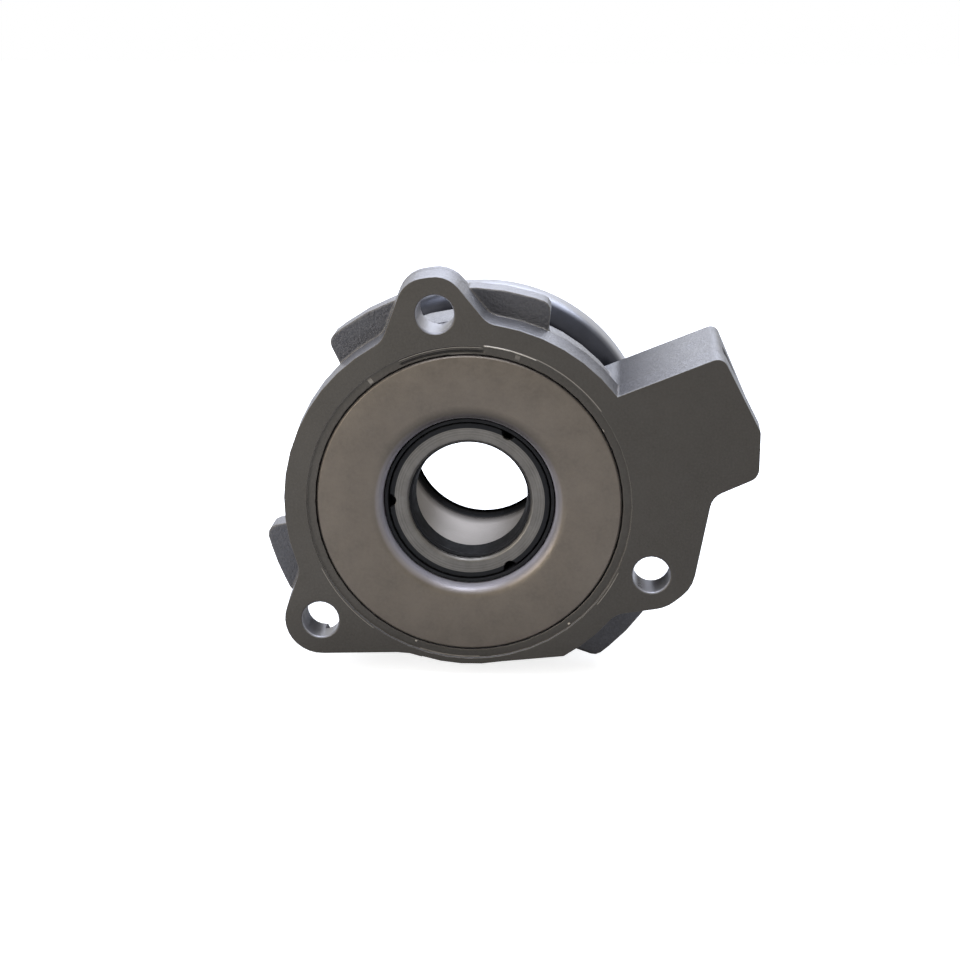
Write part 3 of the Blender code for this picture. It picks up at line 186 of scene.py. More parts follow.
# Staking and tool marks round the disc's seat, each with its radius and half width in
# millimetres, its two angles in degrees, and its height in millimetres
MARKS = (
    (30.55, 0.22, 66.0, 84.5, 0.16),
    (30.70, 0.16, 37.0, 66.0, 0.08),
    (29.45, 0.24, 84.5, 115.0, -0.20),
    (30.10, 0.16, 85.0, 115.0, 0.10),
    (29.55, 0.85, 126.8, 128.4, 0.07),
    (29.70, 0.80, 71.4, 73.2, 0.05),
    (30.75, 0.14, 205.0, 234.0, 0.07),
    (30.90, 0.14, 322.0, 336.0, 0.06),
    (30.30, 0.18, 252.0, 274.0, 0.07),
    (28.60, 0.25, 105.6, 106.8, 0.15),
    (28.80, 0.18, 88.5, 97.0, 0.07),
    (28.90, 0.25, 30.2, 31.2, 0.15),
    (30.05, 0.30, 309.0, 309.9, 0.18),
    (29.20, 0.30, 249.4, 250.2, 0.15),
)

MARK_FLAT = 0.3
MARK_FADE = 0.04
MARKS_END = (3.0 * MM, 4.0 * MM)
RAISED_MARK = (0.02, 0.16)
SUNK_MARK = (-0.03, -0.16)

# Ear holes: the radius they lie on, their angles, and how wide and deep their finish goes
HOLE_PLACE = 36.7 * MM
HOLE_ANGLES = (99.5, 219.5, 339.5)
HOLE_REACH = 3.6 * MM
HOLE_DEPTH = 9.0 * MM

# Hose port: its mouth, the angle of its axis, and the thread inside it, whose form is given as
# shares of the pitch and of the height
PORT_MOUTH = (48.90 * MM, 14.80 * MM, 21.34 * MM)
PORT_ANGLE = 24.0
THREAD_ROOT = 4.60 * MM
THREAD_HEIGHT = 0.50 * MM
THREAD_PITCH = 1.0 * MM
THREAD_TURNS = 9
THREAD_STEPS = 40
THREAD_START = 1.1 * MM
THREAD_RUN_OUT = 0.5
THREAD_FORM = ((-0.5, 0.0), (-0.08, 1.0), (0.08, 1.0), (0.5, 0.0))

# Preload spring, whose place is read from its node
WIRE_RADIUS = 1.1 * MM
SPRING_TURNS = 5.5
SPRING_STEPS = 64
WIRE_STEPS = 14
CLOSED_PITCH = 2.1


def lighter(colour, share):
    return tuple(min(1.0, c * share) for c in colour)


class Finish:
    """A material under construction: each method adds nodes and gives back a socket."""

    def __init__(self, name, metallic):
        self.material = bpy.data.materials.new(name)
        self.material.use_nodes = True
        self.tree = self.material.node_tree
        self.shader = self.tree.nodes["Principled BSDF"]
        self.shader.inputs["Metallic"].default_value = metallic
        self.place = self.add("ShaderNodeTexCoord").outputs["Object"]

    def add(self, kind, **settings):
        node = self.tree.nodes.new(kind)
        for name, value in settings.items():
            setattr(node, name, value)
        return node

    def feed(self, socket, value):
        """Links a socket, or sets a plain value on it."""
        if isinstance(value, bpy.types.NodeSocket):
            self.tree.links.new(value, socket)
        else:
            socket.default_value = value

    def noise(self, scale, detail=3.0, roughness=0.5, place=None):
        node = self.add("ShaderNodeTexNoise")
        self.feed(node.inputs["Vector"], place or self.place)
        node.inputs["Scale"].default_value = scale
        node.inputs["Detail"].default_value = detail
        node.inputs["Roughness"].default_value = roughness
        return node.outputs["Fac"]

    def ramp(self, value, low, high, first=0.0, last=1.0):
        """Maps a value from low..high onto first..last, and holds it there outside."""
        node = self.add("ShaderNodeMapRange")
        self.feed(node.inputs["Value"], value)
        node.inputs["From Min"].default_value = low
        node.inputs["From Max"].default_value = high
        node.inputs["To Min"].default_value = first
        node.inputs["To Max"].default_value = last
        return node.outputs["Result"]

    def math(self, operation, a, b=0.0):
        node = self.add("ShaderNodeMath", operation=operation)
        self.feed(node.inputs[0], a)
        self.feed(node.inputs[1], b)
        return node.outputs[0]

    def blend(self, share, a, b):
        """Mixes two colours, each a socket or a plain triple."""
        node = self.add("ShaderNodeMix", data_type="RGBA")
        self.feed(node.inputs["Factor"], share)
        for socket, value in ((node.inputs[6], a), (node.inputs[7], b)):
            self.feed(socket, value if isinstance(value, bpy.types.NodeSocket) else (*value, 1.0))
        return node.outputs[2]

    def part_of(self, vector, axis):
        split = self.add("ShaderNodeSeparateXYZ")
        self.feed(split.inputs[0], vector)
        return split.outputs[axis]

    def flat_place(self):
        """The place with its share along the shaft axis left out."""
        flat = self.add("ShaderNodeVectorMath", operation="MULTIPLY")
        self.feed(flat.inputs[0], self.place)
        flat.inputs[1].default_value = (1.0, 0.0, 1.0)
        return flat.outputs[0]

    def axis_parts(self):
        """Distance from the shaft axis, and place along it."""
        size = self.add("ShaderNodeVectorMath", operation="LENGTH")
        self.feed(size.inputs[0], self.flat_place())
        return size.outputs["Value"], self.part_of(self.place, "Y")

    def angle(self):
        """The angle round the shaft axis, from +X towards +Z."""
        return self.math("ARCTAN2", self.part_of(self.place, "Z"), self.part_of(self.place, "X"))

    def ring_place(self, radius, scale):
        """A place that changes only with the distance from the axis, for turning marks."""
        join = self.add("ShaderNodeCombineXYZ")
        self.feed(join.inputs["X"], self.math("MULTIPLY", radius, scale))
        return join.outputs[0]

    def arc_mark(self, radius, angle, mark):
        """The height in millimetres of one mark that runs round the axis."""
        centre, half, first, last, height = mark
        middle = (radians((first + last) / 2) + pi) % tau - pi
        away = self.math("ABSOLUTE", self.math("SUBTRACT", radius, centre * MM))
        band = self.ramp(away, half * MARK_FLAT * MM, half * MM, height, 0.0)
        reach = radians((last - first) / 2)
        turn = self.math("ABSOLUTE", self.math("SUBTRACT", angle, middle))
        span = self.ramp(turn, reach * (1 - MARK_FADE), reach * (1 + MARK_FADE), 1.0, 0.0)
        return self.math("MULTIPLY", band, span)

    def port_and_low_shade(self):
        """Painted shade, darker on the hose port's side and low on the casting."""
        port_side = self.ramp(self.part_of(self.place, "X"), *SHADE_ACROSS, 0.0, SHADE_PORT_SIDE)
        low = self.ramp(self.part_of(self.place, "Z"), *SHADE_DOWN, 0.0, SHADE_LOW)
        return self.math("MAXIMUM", port_side, low)

    def upward(self):
        """How much each point faces up, where painted daylight lightens the casting."""
        surface = self.add("ShaderNodeNewGeometry")
        return self.ramp(self.part_of(surface.outputs["Normal"], "Z"), *UPWARD_SPAN)

    def block_root(self, radius):
        """How near a point of the hose port's block is to where it leaves the flange."""
        block = self.math("MULTIPLY", self.ramp(self.part_of(self.place, "X"), *BLOCK_ACROSS),
                          self.ramp(radius, *BLOCK_INNER))
        return self.math("MULTIPLY", block, self.ramp(radius, *BLOCK_OUTER))

    def drilled(self, along):
        """One inside the three ear holes, and nothing outside or behind them."""
        flat = self.flat_place()
        nearest = 1.0
        for angle in HOLE_ANGLES:
            turn = radians(angle)
            away = self.add("ShaderNodeVectorMath", operation="DISTANCE")
            self.feed(away.inputs[0], flat)
            away.inputs[1].default_value = (HOLE_PLACE * cos(turn), 0.0, HOLE_PLACE * sin(turn))
            nearest = self.math("MINIMUM", away.outputs["Value"], nearest)
        inside = self.ramp(nearest, HOLE_REACH + 0.08 * MM, HOLE_REACH)
        return self.math("MULTIPLY", inside,
                         self.ramp(along, HOLE_DEPTH - 0.1 * MM, HOLE_DEPTH, 1.0, 0.0))

    def soft_edges(self, radius):
        """The surface's direction with its edges rounded, and how much each point is an edge."""
        bevel = self.add("ShaderNodeBevel", samples=BEVEL_SAMPLES)
        self.feed(bevel.inputs["Radius"], radius)
        surface = self.add("ShaderNodeNewGeometry")
        dot = self.add("ShaderNodeVectorMath", operation="DOT_PRODUCT")
        self.feed(dot.inputs[0], bevel.outputs["Normal"])
        self.feed(dot.inputs[1], surface.outputs["Normal"])
        return bevel.outputs["Normal"], self.ramp(dot.outputs["Value"], *EDGE_TURN)

    def relief(self, height, depth, normal=None):
        bump = self.add("ShaderNodeBump")
        bump.inputs["Distance"].default_value = depth
        self.feed(bump.inputs["Height"], height)
        if normal:
            self.feed(bump.inputs["Normal"], normal)
        return bump.outputs["Normal"]

    def finish(self, colour, roughness, normal):
        self.feed(self.shader.inputs["Base Color"], colour)
        self.feed(self.shader.inputs["Roughness"], roughness)
        self.feed(self.shader.inputs["Normal"], normal)
        return self.material


def cast_metal():
    """Tumbled die casting: grainy sides, a smoother front, stains, and staking marks, with
    painted top light, painted shade and painted highlights.
    """
    mat = Finish("cast_metal", CAST_METALLIC)
    radius, along = mat.axis_parts()
    angle = mat.angle()
    stains = mat.ramp(mat.noise(90, 4, 0.6), 0.3, 0.7)
    clouds = mat.ramp(mat.noise(32, 3, 0.5), 0.35, 0.65)
    grain = mat.noise(2300, 4, 0.65)
    pits = mat.noise(1500, 4, 0.7)
    side = mat.math("MULTIPLY", mat.ramp(along, *SIDE_DEPTH), mat.ramp(radius, *SIDE_RADIUS))
    normal, edge = mat.soft_edges(mat.ramp(along, *ROUNDING_DEPTH, *ROUNDING))
    base = mat.blend(stains, lighter(CAST_COLOUR, 0.90), lighter(CAST_COLOUR, 1.10))
    base = mat.blend(mat.math("MULTIPLY", clouds, 0.35), base, lighter(CAST_COLOUR, 0.75))
    base = mat.blend(side, base, mat.blend(stains, lighter(CAST_SIDE_COLOUR, 0.85),
                                           lighter(CAST_SIDE_COLOUR, 1.15)))
    bright_grain = mat.blend(side, lighter(CAST_COLOUR, 1.15), lighter(CAST_SIDE_COLOUR, 1.25))
    speckled = mat.blend(mat.ramp(grain, 0.35, 0.75), base, bright_grain)
    # Painted top light: up-facing faces are lightened and made less metallic, less so near the
    # block's root.
    root = mat.block_root(radius)
    top_light = mat.math("MULTIPLY", mat.upward(), mat.ramp(root, 0.0, 1.0, 1.0, 0.5))
    top_lit = mat.blend(top_light, speckled, lighter(CAST_SIDE_COLOUR, 2.5))
    metallic = mat.ramp(top_light, 0.0, 1.0, CAST_METALLIC, TOP_LIT_METALLIC)
    mat.feed(mat.shader.inputs["Metallic"], metallic)
    # Painted shade darkens the port's side and the bottom of the casting.
    shade_darkened = mat.blend(mat.port_and_low_shade(), top_lit, lighter(CAST_COLOUR, 0.35))
    # Painted highlight: the rounded edges are lightened.
    edge_lit = mat.blend(mat.math("MULTIPLY", edge, 0.6), shade_darkened, lighter(CAST_COLOUR, 3.2))
    rough = mat.ramp(mat.noise(240, 3, 0.6), 0.3, 0.7, 0.42, 0.55)
    rough = mat.math("MULTIPLY", rough, mat.ramp(side, 0.0, 1.0, 1.0, 0.78))
    height = mat.math("ADD", grain, mat.math("MULTIPLY", pits, 1.6))
    height = mat.math("MULTIPLY", height, mat.ramp(side, 0.0, 1.0, *GRAIN_DEPTH))
    marks = 0.0
    for mark in MARKS:
        marks = mat.math("ADD", mat.arc_mark(radius, angle, mark), marks)
    marks = mat.math("MULTIPLY", marks, mat.ramp(along, *MARKS_END, 1.0, 0.0))
    # Painted highlight on the raised staking marks, and painted shade in the sunk ones.
    mark_highlit = mat.blend(mat.ramp(marks, *RAISED_MARK), edge_lit, lighter(CAST_COLOUR, 6.0))
    mark_shaded = mat.blend(mat.ramp(marks, *SUNK_MARK, 0.0, 0.7), mark_highlit, GROOVE_SHADE_COLOUR)
    height = mat.math("ADD", height, marks)
    hole = mat.drilled(along)
    colour = mat.blend(hole, mark_shaded, lighter(CAST_SIDE_COLOUR, 4.0))
    height = mat.math("MULTIPLY", height, mat.ramp(hole, 0.0, 1.0, 1.0, 0.1))
    shine = mat.math("MULTIPLY", mat.ramp(root, 0.0, 1.0, 1.0, 0.05),
                     mat.ramp(grain, 0.40, 0.60, 0.55, 1.15))
    dull = mat.math("MULTIPLY", side, mat.math("SUBTRACT", 1.0, shine))
    tint = mat.blend(dull, WHITE, BLACK)
    mat.feed(mat.shader.inputs["Specular Tint"], tint)
    return mat.finish(colour, rough, mat.relief(height, MM, normal))


def drawn_steel():
    """Drawn sheet: mottled and warm on the disc with a painted highlight in its mouth and painted
    shade at the mouth's top, greyer down the tube, with painted shade darkening its end.
    """
    mat = Finish("drawn_steel", DRAWN_METALLIC)
    radius, along = mat.axis_parts()
    down_tube = mat.ramp(along, *TUBE_START)
    blotches = mat.ramp(mat.noise(150, 5, 0.65), 0.32, 0.68)
    specks = mat.ramp(mat.noise(1500, 3, 0.6), 0.35, 0.7)
    normal, edge = mat.soft_edges(0.15 * MM)
    disc = mat.blend(blotches, lighter(DISC_COLOUR, 0.87), lighter(DISC_COLOUR, 1.10))
    tube = mat.blend(blotches, lighter(TUBE_COLOUR, 0.9), lighter(TUBE_COLOUR, 1.1))
    dusty = mat.blend(mat.math("MULTIPLY", specks, 0.30), disc, lighter(DISC_COLOUR, 1.20))
    # Painted highlight: the mouth is lightened to a lilac band.
    front = mat.blend(mat.ramp(along, *MOUTH_DEPTH), dusty, MOUTH_HIGHLIGHT_COLOUR)
    high = mat.math("MULTIPLY", mat.ramp(mat.part_of(mat.place, "Z"), *MOUTH_SHADE_HEIGHT),
                    mat.ramp(radius, *MOUTH_SHADE_RADIUS, 0.0, 0.75))
    shaded = mat.blend(high, front, lighter(DISC_COLOUR, 0.35))
    # Painted shade darkens the far end of the tube.
    end_shaded = mat.blend(mat.ramp(along, *TUBE_SHADE_END), tube, lighter(TUBE_COLOUR, 0.02))
    base = mat.blend(down_tube, shaded, end_shaded)
    # Painted highlight on the edges near the sleeve's mouth.
    inside = mat.ramp(along, *LIT_EDGE_DEPTH, 0.4, 0.0)
    edge_lit = mat.blend(mat.math("MULTIPLY", edge, inside), base, lighter(DISC_COLOUR, 1.8))
    rough = mat.ramp(mat.noise(300, 4, 0.6), 0.3, 0.7, 0.36, 0.50)
    turning = mat.noise(1.0, 2, 0.5, mat.ring_place(radius, 9000))
    height = mat.math("ADD", specks, mat.math("MULTIPLY", turning, 0.4))
    mouth = mat.ramp(along, *MOUTH_SHEEN_DEPTH, DRAWN_METALLIC, MOUTH_METALLIC)
    bare = mat.math("MAXIMUM", mouth, mat.ramp(along, *TUBE_START, 0.0, DRAWN_METALLIC))
    mat.feed(mat.shader.inputs["Metallic"], bare)
    mat.feed(mat.shader.inputs["Specular Tint"], mat.blend(down_tube, WHITE, TUBE_TINT))
    return mat.finish(edge_lit, rough, mat.relief(height, 0.016 * MM, normal))


def plain_metal(name, colour, roughness, spread=0.12, turned=True):
    """Steel or alloy with faint turning marks, cloudy roughness and painted highlights on its
    edges.
    """
    mat = Finish(name, STEEL_METALLIC)
    radius, _ = mat.axis_parts()
    clouds = mat.ramp(mat.noise(180, 4, 0.6), 0.3, 0.7)
    normal, edge = mat.soft_edges(STEEL_ROUND)
    base = mat.blend(clouds, lighter(colour, 1 - spread), lighter(colour, 1 + spread))
    # Painted highlight on the edges.
    edge_lit = mat.blend(mat.math("MULTIPLY", edge, 0.5), base, lighter(colour, 1.7))
    rough = mat.ramp(mat.noise(420, 4, 0.6), 0.3, 0.7, roughness * 0.8, roughness * 1.25)
    marks = mat.noise(1.0, 2, 0.5, mat.ring_place(radius, 7000)) if turned else mat.noise(1800)
    height = mat.math("ADD", marks, mat.math("MULTIPLY", mat.noise(1200, 3), 0.4))
    return mat.finish(edge_lit, rough, mat.relief(height, 0.012 * MM, normal))


def seal_steel():
    """Pressed steel with fine scratches, and the rubber's flash over its outer edge."""
    mat = Finish("seal_steel", STEEL_METALLIC)
    radius, _ = mat.axis_parts()
    clouds = mat.ramp(mat.noise(260, 5, 0.7), 0.3, 0.7)
    rings = mat.noise(1.0, 4, 0.7, mat.ring_place(radius, 4200))
    normal, edge = mat.soft_edges(STEEL_ROUND)
    low, high = lighter(SEAL_STEEL_COLOUR, 0.70), lighter(SEAL_STEEL_COLOUR, 1.3)
    lines = mat.ramp(rings, 0.38, 0.62)
    base = mat.blend(mat.math("MULTIPLY", mat.math("ADD", clouds, lines), 0.5), low, high)
    # Painted highlight on the edges.
    edge_lit = mat.blend(mat.math("MULTIPLY", edge, 0.5), base, lighter(SEAL_STEEL_COLOUR, 1.9))
    wander = mat.math("MULTIPLY", clouds, FLASH_WANDER)
    flash = mat.ramp(mat.math("ADD", radius, wander), *FLASH_RADIUS)
    colour = mat.blend(flash, edge_lit, RUBBER_COLOUR)
    mat.feed(mat.shader.inputs["Metallic"], mat.ramp(flash, 0.0, 1.0, STEEL_METALLIC, 0.0))
    mat.feed(mat.shader.inputs["Specular IOR Level"], RUBBER_SHEEN)
    rough = mat.ramp(mat.noise(420, 4, 0.6), 0.3, 0.7, 0.34, 0.50)
    height = mat.math("ADD", rings, mat.math("MULTIPLY", clouds, 0.5))
    return mat.finish(colour, rough, mat.relief(height, 0.035 * MM, normal))


def cup_steel():
    """Blackened pressed steel, with a painted highlight lightening it round its shoulder."""
    mat = Finish("cup_steel", STEEL_METALLIC)
    _, along = mat.axis_parts()
    clouds = mat.ramp(mat.noise(160, 4, 0.6), 0.3, 0.7)
    normal, edge = mat.soft_edges(STEEL_ROUND)
    dark = mat.blend(clouds, lighter(DARK_STEEL_COLOUR, 0.85), lighter(DARK_STEEL_COLOUR, 1.15))
    # Painted highlight round the cup's shoulder.
    base = mat.blend(mat.ramp(along, *CUP_SHOULDER), dark, CUP_HIGHLIGHT_COLOUR)
    # Painted highlight on the edges.
    edge_lit = mat.blend(mat.math("MULTIPLY", edge, 0.5), base, CUP_HIGHLIGHT_COLOUR)
    rough = mat.ramp(mat.noise(420, 4, 0.6), 0.3, 0.7, 0.27, 0.38)
    return mat.finish(edge_lit, rough, mat.relief(mat.noise(1200, 3), 0.010 * MM, normal))


def rubber():
    """Moulded black rubber with a dusty bloom."""
    mat = Finish("black_rubber", 0.0)
    mat.shader.inputs["Specular IOR Level"].default_value = RUBBER_SHEEN
    bloom = mat.ramp(mat.noise(400, 4, 0.65), 0.35, 0.7)
    colour = mat.blend(bloom, RUBBER_COLOUR, lighter(RUBBER_COLOUR, 1.8))
    rough = mat.ramp(mat.noise(600, 3, 0.6), 0.3, 0.7, 0.48, 0.65)
    return mat.finish(colour, rough, mat.relief(mat.noise(2500, 3), 0.02 * MM))


def moulded_plastic(name, colour):
    """Plastic with faint clouds and a fine grain."""
    mat = Finish(name, 0.0)
    clouds = mat.ramp(mat.noise(300, 3, 0.6), 0.3, 0.7)
    base = mat.blend(clouds, lighter(colour, 0.9), lighter(colour, 1.1))
    rough = mat.ramp(mat.noise(700, 3), 0.3, 0.7, 0.4, 0.55)
    return mat.finish(base, rough, mat.relief(mat.noise(2200, 3), 0.015 * MM))


def body_of(name):
    """The body that a node rides on."""
    holder = frame["nodes"][name].parent
    return next(body for body, empty in frame["bodies"].items() if empty == holder)


def new_piece(name, bm, material, body, sharp=SHARP_ANGLE):
    """A smooth-shaded piece that rides on a body, sharp only where its faces turn enough."""
    bmesh.ops.recalc_face_normals(bm, faces=bm.faces)
    mesh = bpy.data.meshes.new(name)
    bm.to_mesh(mesh)
    bm.free()
    for layer in ("custom_normal", "sharp_edge", "sharp_face"):
        if layer in mesh.attributes:
            mesh.attributes.remove(mesh.attributes[layer])
    mesh.shade_smooth()
    mesh.set_sharp_from_angle(angle=radians(sharp))
    mesh.materials.clear()
    mesh.materials.append(material)
    piece = bpy.data.objects.new(name, mesh)
    bpy.context.scene.collection.objects.link(piece)
    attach(piece, body)
    return piece


def welded(name):
    """A copy of a node's mesh with its split corners joined into one skin."""
    bm = bmesh.new()
    bm.from_mesh(frame["nodes"][name].data)
    bmesh.ops.remove_doubles(bm, verts=bm.verts, dist=WELD_REACH)
    return bm


def section_of(name):
    """The closed (y, radius) outline of a turned node, read where it crosses the +X side."""
    bm = welded(name)
    flat = [v for v in bm.verts if abs(v.co.z) < 1e-6 and v.co.x > 0]
    on_plane = set(flat)
    points, before, here = [], None, flat[0]
    while True:
        points.append(Vector((here.co.y, here.co.x)))
        near = [edge.other_vert(here) for edge in here.link_edges]
        near = [v for v in near if v in on_plane and v is not before]
        before, here = here, near[0]
        if here is flat[0]:
            break
    bm.free()
    return points


def eased(outline, radius):
    """The same closed outline with its corners rounded, and its shallow bends left alone."""
    count = len(outline)
    points = []
    for i, corner in enumerate(outline):
        into = corner - outline[i - 1]
        out = outline[(i + 1) % count] - corner
        room = min(into.length, out.length) * CORNER_SHARE
        into, out = into.normalized(), out.normalized()
        turn = atan2(into.cross(out), into.dot(out))
        if abs(turn) < radians(SHALLOW_BEND):
            points.append(corner)
            continue
        reach = min(room, radius * abs(tan(turn / 2)))
        first, last = corner - into * reach, corner + out * reach
        steps = max(2, ceil(abs(turn) / radians(CORNER_STEP)))
        for k in range(steps + 1):
            share = k / steps
            near, far = first.lerp(corner, share), corner.lerp(last, share)
            points.append(near.lerp(far, share))
    return points


def turned_skin(name, material, radius=EDGE_ROUND):
    """A fine skin with rounded edges in the place of a turned node."""
    profile = eased(section_of(name), radius)
    bm = bmesh.new()
    rings = []
    for i in range(TURNED_STEPS):
        turn = tau * i / TURNED_STEPS
        rings.append([bm.verts.new((p.y * cos(turn), p.x, p.y * sin(turn))) for p in profile])
    count = len(profile)
    for i in range(TURNED_STEPS):
        here, there = rings[i], rings[(i + 1) % TURNED_STEPS]
        for j in range(count):
            k = (j + 1) % count
            bm.faces.new((here[j], here[k], there[k], there[j]))
    piece = new_piece(f"{name}_skin", bm, material, body_of(name), TURNED_SHARP)
    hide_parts(name)
    return piece


def plain_skin(name, material):
    """The same form as a node's in one skin, so that its round faces look round."""
    piece = new_piece(f"{name}_skin", welded(name), material, body_of(name), PLAIN_SHARP)
    step = piece.modifiers.new("flat_faces_stay_flat", "WEIGHTED_NORMAL")
    step.keep_sharp = True
    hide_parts(name)
    return piece


def rounded_skin(name, material):
    """A skin with rounded edges in the place of a node that isn't turned."""
    bm = welded(name)
    bmesh.ops.dissolve_limit(bm, angle_limit=radians(FLAT_ANGLE), verts=bm.verts, edges=bm.edges)
    piece = new_piece(f"{name}_skin", bm, material, body_of(name))
    step = piece.modifiers.new("rounded_edges", "BEVEL")
    step.width = EDGE_ROUND
    step.segments = 2
    step.limit_method = "ANGLE"
    step.angle_limit = radians(BEVEL_ANGLE)
    step.use_clamp_overlap = False
    step.loop_slide = False
    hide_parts(name)
    return piece


def build_balls(material):
    """Smooth balls in the place of the faceted ones."""
    around, high = BALL_SEGMENTS
    for name in sorted(n for n in frame["nodes"] if n.startswith("ball_") and n != "ball_cage"):
        low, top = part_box(name)
        bm = bmesh.new()
        centre = Matrix.Translation((low + top) / 2)
        bmesh.ops.create_uvsphere(bm, u_segments=around, v_segments=high,
                                  radius=(top.z - low.z) / 2, matrix=centre)
        piece = new_piece(f"{name}_polished", bm, material, body_of(name))
        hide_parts(name)


def swept(path, section):
    """A closed tube along a path: section gives each ring's points from its place on the path."""
    bm = bmesh.new()
    rings = [[bm.verts.new(p) for p in section(at)] for at in path]
    count = len(rings[0])
    for here, there in zip(rings, rings[1:]):
        for j in range(count):
            k = (j + 1) % count
            bm.faces.new((here[j], here[k], there[k], there[j]))
    bm.faces.new(rings[0])
    bm.faces.new(rings[-1])
    return bm


def build_spring(material):
    """The round-wire coil, finer than its solid."""
    low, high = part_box("preload_spring")
    radius = (high.x - low.x) / 2 - WIRE_RADIUS
    bottom, top = low.y + WIRE_RADIUS, high.y - WIRE_RADIUS
    end_rise = CLOSED_PITCH * WIRE_RADIUS
    rest = (top - bottom - 2 * end_rise) / (SPRING_TURNS - 2)

    def ring(turns):
        rise = end_rise * min(turns, 1.0)
        rise += rest * max(0.0, min(turns - 1.0, SPRING_TURNS - 2.0))
        rise += end_rise * max(0.0, turns - (SPRING_TURNS - 1.0))
        out = Vector((cos(tau * turns), 0.0, sin(tau * turns)))
        centre = out * radius + Vector((0.0, bottom + rise, 0.0))
        points = []
        for i in range(WIRE_STEPS):
            turn = tau * i / WIRE_STEPS
            offset = out * cos(turn) + Vector((0.0, sin(turn), 0.0))
            points.append(centre + offset * WIRE_RADIUS)
        return points

    count = int(SPRING_TURNS * SPRING_STEPS)
    bm = swept([SPRING_TURNS * i / count for i in range(count + 1)], ring)
    piece = new_piece("preload_spring_coil", bm, material, body_of("preload_spring"))
    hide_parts("preload_spring")
    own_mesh(piece)


def build_port_thread(material):
    """The thread inside the hose port, as a ridge that winds down its bore."""
    axis = Vector((cos(radians(PORT_ANGLE)), 0.0, sin(radians(PORT_ANGLE))))
    side = Vector((0.0, 1.0, 0.0))
    other = axis.cross(side)
    mouth = Vector(PORT_MOUTH)

    def ring(turns):
        out = side * cos(tau * turns) + other * sin(tau * turns)
        depth = THREAD_START + THREAD_PITCH * turns
        ease = min(1.0, turns / THREAD_RUN_OUT, (THREAD_TURNS - turns) / THREAD_RUN_OUT)
        points = []
        for shift, inset in THREAD_FORM:
            away = THREAD_ROOT - THREAD_HEIGHT * inset * ease
            points.append(mouth + out * away - axis * (depth + THREAD_PITCH * shift))
        return points

    count = THREAD_TURNS * THREAD_STEPS
    bm = swept([THREAD_TURNS * i / count for i in range(count + 1)], ring)
    new_piece("port_thread", bm, material, body_of("housing"))


def build_pieces():
    cast = cast_metal()
    plain_skin("housing", cast)
    turned_skin("guide_sleeve", drawn_steel())
    rounded_skin("seal_case", seal_steel())
    black = rubber()
    for name in ("seal_rubber", "piston_seal", "tube_wiper", "sleeve_o_ring", "bearing_seal"):
        turned_skin(name, black, SOFT_ROUND)
    ring_steel = plain_metal("ring_steel", SPRING_COLOUR, 0.35)
    turned_skin("garter_spring", ring_steel)
    plain_skin("stop_ring", ring_steel)
    turned_skin("bearing_cup", cup_steel())
    rings = plain_metal("bearing_steel", BEARING_COLOUR, 0.22)
    turned_skin("bearing_outer_ring", rings)
    turned_skin("bearing_inner_ring", rings)
    turned_skin("piston", plain_metal("piston_alloy", PISTON_COLOUR, 0.3))
    turned_skin("piston_guide_ring", moulded_plastic("guide_plastic", GUIDE_COLOUR), SOFT_ROUND)
    plain_skin("ball_cage", moulded_plastic("cage_plastic", CAGE_COLOUR))
    build_balls(plain_metal("ball_steel", lighter(BEARING_COLOUR, 1.4), 0.12, 0.04, False))
    build_spring(plain_metal("spring_steel", SPRING_COLOUR, 0.33, 0.15, False))
    build_port_thread(cast)


def ray_level(tree, kinds, low, high):
    """A strength that is high for rays of these kinds and low for all the others."""
    path = tree.nodes.new("ShaderNodeLightPath")
    seen = path.outputs[kinds[0]]
    for kind in kinds[1:]:
        pick = tree.nodes.new("ShaderNodeMath")
        pick.operation = "MAXIMUM"
        tree.links.new(seen, pick.inputs[0])
        tree.links.new(path.outputs[kind], pick.inputs[1])
        seen = pick.outputs[0]
    level = tree.nodes.new("ShaderNodeMapRange")
    level.inputs["To Min"].default_value = low
    level.inputs["To Max"].default_value = high
    tree.links.new(seen, level.inputs["Value"])
    return level.outputs["Result"]


def build_world():
    """White to the camera and in reflections, and a plain level of light everywhere else."""
    world = bpy.data.worlds.new("studio")
    bpy.context.scene.world = world
    world.use_nodes = True
    tree = world.node_tree
    back = tree.nodes["Background"]
    back.inputs["Color"].default_value = (*WHITE, 1.0)
    kinds = ("Is Camera Ray", "Is Glossy Ray", "Is Transmission Ray")
    tree.links.new(ray_level(tree, kinds, WORLD_LEVEL, 1.0), back.inputs["Strength"])


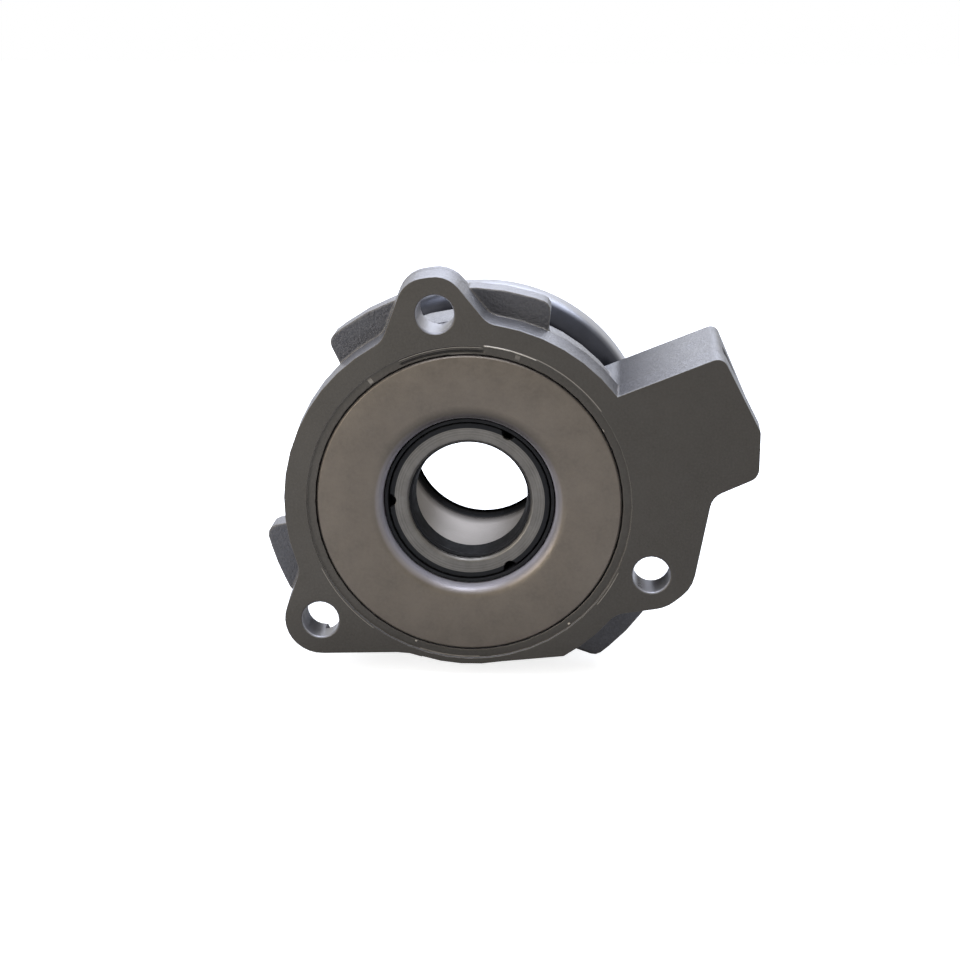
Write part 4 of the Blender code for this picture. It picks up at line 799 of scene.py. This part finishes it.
def build_floor():
    """A plain pale floor at the part's lowest point, which shows white and keeps a shadow."""
    mat = bpy.data.materials.new("pale_floor")
    mat.use_nodes = True
    tree = mat.node_tree
    shader = tree.nodes["Principled BSDF"]
    shader.inputs["Base Color"].default_value = (*FLOOR_COLOUR, 1.0)
    shader.inputs["Roughness"].default_value = FLOOR_ROUGHNESS
    shader.inputs["Specular IOR Level"].default_value = 0.0
    shader.inputs["Emission Color"].default_value = (*WHITE, 1.0)
    glow = ray_level(tree, ("Is Camera Ray",), 0.0, FLOOR_GLOW)
    tree.links.new(glow, shader.inputs["Emission Strength"])
    half = FLOOR_SIZE / 2
    height = CAD_BOX[0][2] - FLOOR_GAP
    bm = bmesh.new()
    corners = ((-half, -half), (half, -half), (half, half), (-half, half))
    bm.faces.new([bm.verts.new((x, y, height)) for x, y in corners])
    mesh = bpy.data.meshes.new("floor")
    bm.to_mesh(mesh)
    bm.free()
    mesh.materials.append(mat)
    floor = bpy.data.objects.new("floor", mesh)
    bpy.context.scene.collection.objects.link(floor)


def area_light(name, place, size, power, colour):
    light = bpy.data.lights.new(name, "AREA")
    light.shape = "DISK"
    light.size = size
    light.energy = power
    light.color = colour
    lamp = bpy.data.objects.new(name, light)
    lamp.location = place
    aim = Vector(LIGHT_AIM) - Vector(place)
    lamp.rotation_euler = aim.to_track_quat("-Z", "Y").to_euler()
    bpy.context.scene.collection.objects.link(lamp)


def build_lights():
    area_light("window", *WINDOW)
    area_light("ceiling", *CEILING)
    area_light("side", *SIDE)


def build_camera():
    down, left = radians(CAMERA_DOWN), radians(CAMERA_LEFT)
    forward = Vector((-sin(left) * cos(down), cos(left) * cos(down), -sin(down)))
    right = Vector((cos(left), sin(left), 0.0))
    up = right.cross(forward)
    data = bpy.data.cameras.new("camera")
    data.lens = CAMERA_LENS
    data.sensor_width = SENSOR_WIDTH
    data.clip_start = CAMERA_CLIP
    camera = bpy.data.objects.new("camera", data)
    turn = Matrix((right, up, -forward)).transposed().to_4x4()
    camera.matrix_world = Matrix.Translation(CAMERA_PLACE) @ turn
    bpy.context.scene.collection.objects.link(camera)
    bpy.context.scene.camera = camera


bpy.context.scene.view_settings.view_transform = "Standard"
build_camera()
build_pieces()
build_world()
build_floor()
build_lights()
